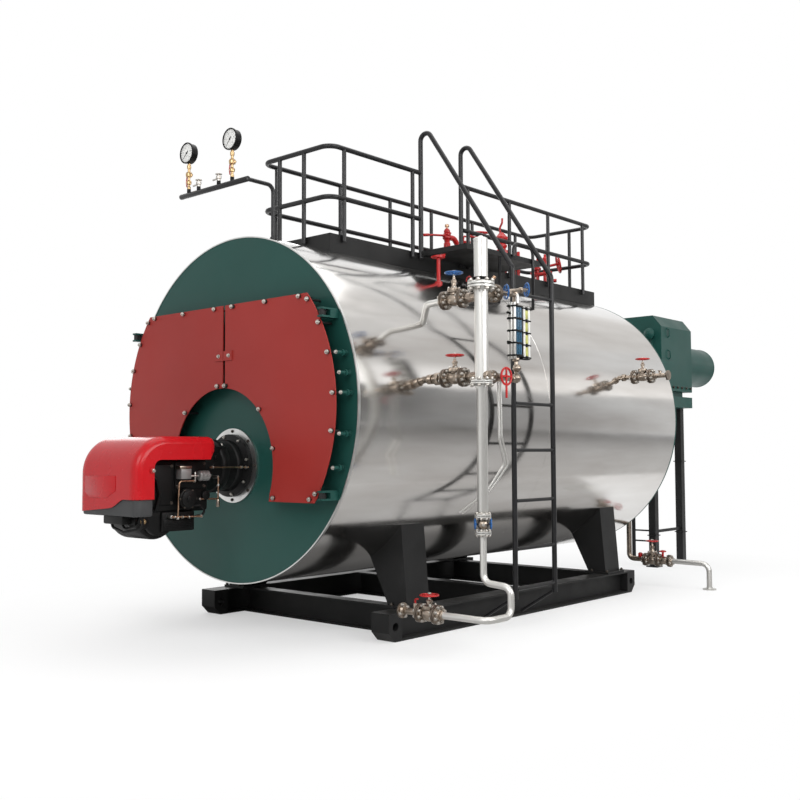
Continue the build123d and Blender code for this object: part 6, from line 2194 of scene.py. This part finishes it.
@dataclass
class Crown:
    """Red steam valves and safety valves on the crown."""

    places: Places

    def build(self) -> None:
        """Make every fitting as one dressed group."""
        parts = [
            self.safety_valve(self.places.back(2.372)),
            self.stop_valve(self.places.back(2.838)),
            self.lever_valve(self.places.back(3.190)),
            self.rear_group(self.places.back(3.837)),
            self.flank_standpipe(),
        ]
        shown(joined("crown_valves", parts), "boiler", "valve_red", ["crown_fittings"])

    def lathe_at(self, profile: Profile, x: float, y: float) -> Piece:
        """Red turned part on the crown, its profile in heights over the floor."""
        return dressed(moved(turned("red_part", profile, 32), shift(x, y, 0)), Look.RED_VALVE)

    def nozzle(self, radius: float, top: float) -> list[Pair]:
        """Profile of a nozzle with its flange, from the crown up to a height."""
        foot = self.places.axis + self.places.radius
        return [
            (0, foot - 0.02), (radius * 1.7, foot - 0.02), (radius * 1.7, foot + 0.018),
            (radius, foot + 0.026), (radius, top - 0.110), (radius * 1.9, top - 0.100),
            (radius * 1.9, top - 0.070), (radius * 1.6, top - 0.068), (radius * 1.6, top - 0.062),
            (radius * 1.9, top - 0.060), (radius * 1.9, top - 0.030), (radius * 0.9, top - 0.022),
        ]

    def safety_valve(self, y: float) -> Piece:
        """Safety valve with a level hand lever in front and its outlet behind."""
        body = self.lathe_at([*self.nozzle(0.036, 3.070), *SAFETY_TOP], 0, y)
        arm = self.line(
            "lever", y, ((0, 3.160), (-0.180, 3.137), (-0.300, 3.118)), 0.0095, 0.04, 14,
        )
        grip = self.bar("grip", y, (-0.250, 3.127), (-0.318, 3.115), 0.013, 14, 0.004)
        route = ((0, 3.145), (0.095, 3.150), (0.150, 3.100), (0.155, 3.050))
        elbow = self.line("outlet", y, route, 0.024, 0.05, 24)
        lip = self.bar("outlet_lip", y, (0.155, 3.048), (0.155, 3.066), 0.040, 24, 0.003)
        yoke = self.bar("yoke", y, (-0.060, 3.150), (0.050, 3.190), 0.010, 14)
        red = joined("safety_red", [arm, grip, elbow, lip, yoke], Look.RED_VALVE)
        tip = dressed(moved(turned("tip", SAFETY_TIP, 16), shift(0, y, 3.222)), Look.COPPER)
        return joined("safety_valve", [body, red, tip])

    def bar(self, name: str, y: float, start: Place, end: Place, *shape: float) -> Piece:
        """Round bar in the boiler's middle plane, its ends given past Y and by height."""
        return rod(name, (0, y + start[0], start[1]), (0, y + end[0], end[1]), *shape)

    def line(self, name: str, y: float, points: Profile, *shape: float) -> Piece:
        """Bent pipe in the boiler's middle plane, along places past Y and heights."""
        return pipe(name, [(0, y + along, z) for along, z in points], *shape)

    def stop_valve(self, y: float) -> Piece:
        """Main stop valve: a wheel on its rising stem over an open yoke."""
        body = self.lathe_at([*self.nozzle(0.050, 3.040), *STOP_TOP], 0, y)
        wheel = HandWheel(0.118, 0.0095, 5, 0.020, 0.018).build("stop_wheel", Look.RED_VALVE)
        moved(wheel, shift(0, y, 3.244))
        red = []
        for sign in (1, -1):
            route = ((sign * 0.040, 3.080), (sign * 0.052, 3.130), (sign * 0.016, 3.196))
            red.append(self.line("yoke", y, route, 0.010, 0.02, 14))
        loop = ((-0.235, 3.145), (-0.225, 3.195), (-0.175, 3.195), (-0.165, 3.145))
        red += [
            self.bar("by_pass", y, (-0.06, 3.020), (-0.215, 3.020), 0.024, 24),
            self.bar("by_pass_stand", y, (-0.200, 2.700), (-0.200, 3.130), 0.026, 24, 0.004),
            self.bar("by_pass_cap", y, (-0.200, 3.130), (-0.200, 3.150), 0.045, 24, 0.004),
            self.line("by_pass_loop", y, loop, 0.008, 0.015, 12),
        ]
        return joined("stop_valve", [body, wheel, joined("stop_red", red, Look.RED_VALVE)])

    def lever_valve(self, y: float) -> Piece:
        """Safety valve with an upright lever, and the two pillars behind it."""
        body = self.lathe_at([*self.nozzle(0.048, 3.170), *LEVER_TOP], 0, y)
        points = [(-0.015, y, 3.305), (-0.018, y, 3.370), (0.008, y, 3.412), (0.010, y, 3.455)]
        lever = pipe("lever", points, 0.0095, 0.03, 14)
        outlet = self.line("outlet", y, ((0, 3.000), (-0.130, 3.000)), 0.034, 0.0, 24)
        horn = moved(turned("horn", HORN, 28), aim((0, y - 0.150, 3.000), Y_AXIS))
        foot, back = self.places.axis + self.places.radius, y + 0.235
        pillars = [
            rod("pillar", (x, back, foot - 0.01), (x, back, 3.170), 0.015, 20, 0.003)
            for x in (-0.026, 0.026)
        ]
        tie = rod("pillar_tie", (-0.045, back, 3.070), (0.045, back, 3.070), 0.011, 16)
        red = joined("lever_red", [lever, outlet, horn, *pillars, tie], Look.RED_VALVE)
        return joined("lever_valve", [body, red])

    def rear_group(self, y: float) -> Piece:
        """Twin valves joined by a bridge, with a tilted wheel beside them."""
        foot = self.places.axis + self.places.radius
        red = []
        for x, top in ((-0.075, 3.130), (-0.030, 3.170), (0.055, 3.200)):
            stand = [
                (0, foot - 0.02), (0.036, foot - 0.02), (0.036, foot + 0.012),
                (0.017, foot + 0.018), (0.017, top - 0.120), (0.034, top - 0.112),
                (0.034, top - 0.092), (0.020, top - 0.086), (0.026, top - 0.040),
                (0.012, top - 0.022), (0.012, top), (0, top),
            ]
            red.append(moved(turned("stand", stand, 24), shift(x, y, 0)))
        side, start = Vector((0.735, 0.640, 0.225)), Vector((0.040, y, 3.075))
        tip = start + side * 0.150
        red += [
            rod("bridge", (-0.095, y, 3.010), (0.130, y, 3.010), 0.020, 20, 0.003),
            rod("upper_bridge", (-0.030, y, 3.150), (0.055, y, 3.150), 0.012, 16, 0.002),
            rod("spindle", start, tip, 0.013, 16),
            rod("small_cock", (0.130, y, 2.930), (0.175, y + 0.02, 2.930), 0.018, 16, 0.003),
        ]
        wheel = HandWheel(0.096, 0.009, 5, 0.016, 0.012).build("rear_wheel", Look.RED_VALVE)
        group = joined("rear_red", red, Look.RED_VALVE)
        return joined("rear_group", [group, moved(wheel, aim(tip, side))])

    def flank_standpipe(self) -> Piece:
        """Small standpipe with a T end on the shell beside the platform."""
        x, y = 0.699, self.places.back(1.395)
        foot = self.places.on_shell(x)
        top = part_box("crown_fittings")[0].z + 0.233
        profile = [
            (0, foot - 0.02), (0.028, foot - 0.02), (0.028, foot + 0.010), (0.0145, foot + 0.014),
            (0.0145, top - 0.030), (0.050, top - 0.028), (0.050, top - 0.014), (0.018, top - 0.012),
            (0.018, top - 0.006), (0, top - 0.006),
        ]
        bar = rod(
            "bar", (x - 0.068, y, top - 0.012), (x + 0.062, y, top - 0.012), 0.0085, 12, 0.002,
        )
        return joined(
            "flank_standpipe", [self.lathe_at(profile, x, y), dressed(bar, Look.RED_VALVE)],
        )


@dataclass
class RearBox:
    """Green flue box, its covers, duct and stand."""

    places: Places

    def build(self) -> None:
        """Dress the box and bolt its covers on."""
        green = ("flue_box", "flue_box_base", "flue_connector", "flue_duct")
        looks = dict.fromkeys(green, Look.GREEN) | {"flue_box_drain": Look.BLACK_TUBE}
        dress_nodes(looks | dict.fromkeys(("rear_posts", "rear_ties"), Look.BLACK))
        shown(self.details(), "boiler", "flue_green")

    def details(self) -> Piece:
        """Lifting bars, boss, seams and bolts on the flue box."""
        low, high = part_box("flue_box")
        duct_low, duct_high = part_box("flue_duct")
        x, face = high.x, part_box("flue_box_base")[0].y
        green = []
        for y, z in ((face + 0.150, high.z - 0.19), (face + 0.165, high.z - 0.43)):
            ends = (
                (-0.004, -0.02, 0.052), (0.024, 0, 0.034), (0.024, 0, -0.034),
                (-0.004, 0.012, -0.052),
            )
            points = [(x + dx, y + dy, z + dz) for dx, dy, dz in ends]
            green.append(pipe("grip", points, 0.0075, 0.020, 14))
        seat = aim((0.236, face - 0.058, 2.558), -Y_AXIS)
        green.append(moved(turned("boss_rim", BOX_BOSS, 36), seat))
        front, back = face - 0.012, face + 0.002
        for name, start, end, edge in (
            ("face_bar", (-0.02, front, 2.520), (0.19, back, 2.552), 0.004),
            ("face_post", (0.222, front, low.z + 0.20), (0.250, back, 2.500), 0.004),
            (
                "seam", (-0.352, face - 0.004, low.z - 0.004),
                (0.352, high.y + 0.004, low.z + 0.010), 0.003,
            ),
        ):
            green.append(block(name, start, end, edge))
        rim = (0, duct_high.y - 0.007, (duct_low.z + duct_high.z) / 2)
        green.append(ring("duct_rim", rim, Y_AXIS, 0.227, 0.006, 64))
        frames = []
        for step in range(7):
            y = face + 0.05 + (high.y - face - 0.1) * step / 6
            frames.append(aim((x + 0.002, y, low.z - 0.012), X_AXIS))
        box = joined("box_green", green, Look.GREEN)
        bolts = patterned("box_bolts", hex_bolt(0.014, 0.004), frames, Look.DARK_BOLT)
        return joined("flue_box_details", [box, bolts])


@dataclass
class Skid:
    """Welded skid and saddles."""

    places: Places

    def build(self) -> None:
        """Dress the steel and add the saddles' bolts."""
        nodes = (
            "skid_runner_right", "skid_runner_left", "skid_cross_beams", "saddle_front",
            "saddle_rear",
        )
        dress_nodes(dict.fromkeys(nodes, Look.BLACK))
        shown(self.anchor_bolts(), "boiler", "skid_black")

    def anchor_bolts(self) -> Piece:
        """Bolts that hold the saddles' base plates on the runners."""
        frames = []
        for node in ("saddle_front", "saddle_rear"):
            low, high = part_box(node)
            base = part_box("skid_runner_right")[1].z + 0.016
            for sign in (1, -1):
                for y in (low.y + 0.012, high.y - 0.012):
                    frames.append(aim((sign * (high.x - 0.02), y, base), Z_AXIS))
                    frames.append(aim((sign * (high.x - 0.17), y, base), Z_AXIS))
        return patterned("anchor_bolts", hex_bolt(0.014, 0.006), frames, Look.DARK_BOLT)


def main() -> None:
    """Load the frame, dress it piece by piece and set up the studio."""
    logging.basicConfig(level=logging.INFO, format="%(name)s %(message)s")
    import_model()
    clear()
    places = Places()
    for assembly in (
        Drum(places),
        Doors(places),
        Burner(places),
        Gauges(places),
        Platform(places),
        LevelColumn(places),
        SideLines(places),
        Wheels(),
        Crown(places),
        RearBox(places),
        Skid(places),
        Studio(),
    ):
        assembly.build()
        LOG.info("%s done", type(assembly).__name__)


if __name__ == "__main__":
    main()
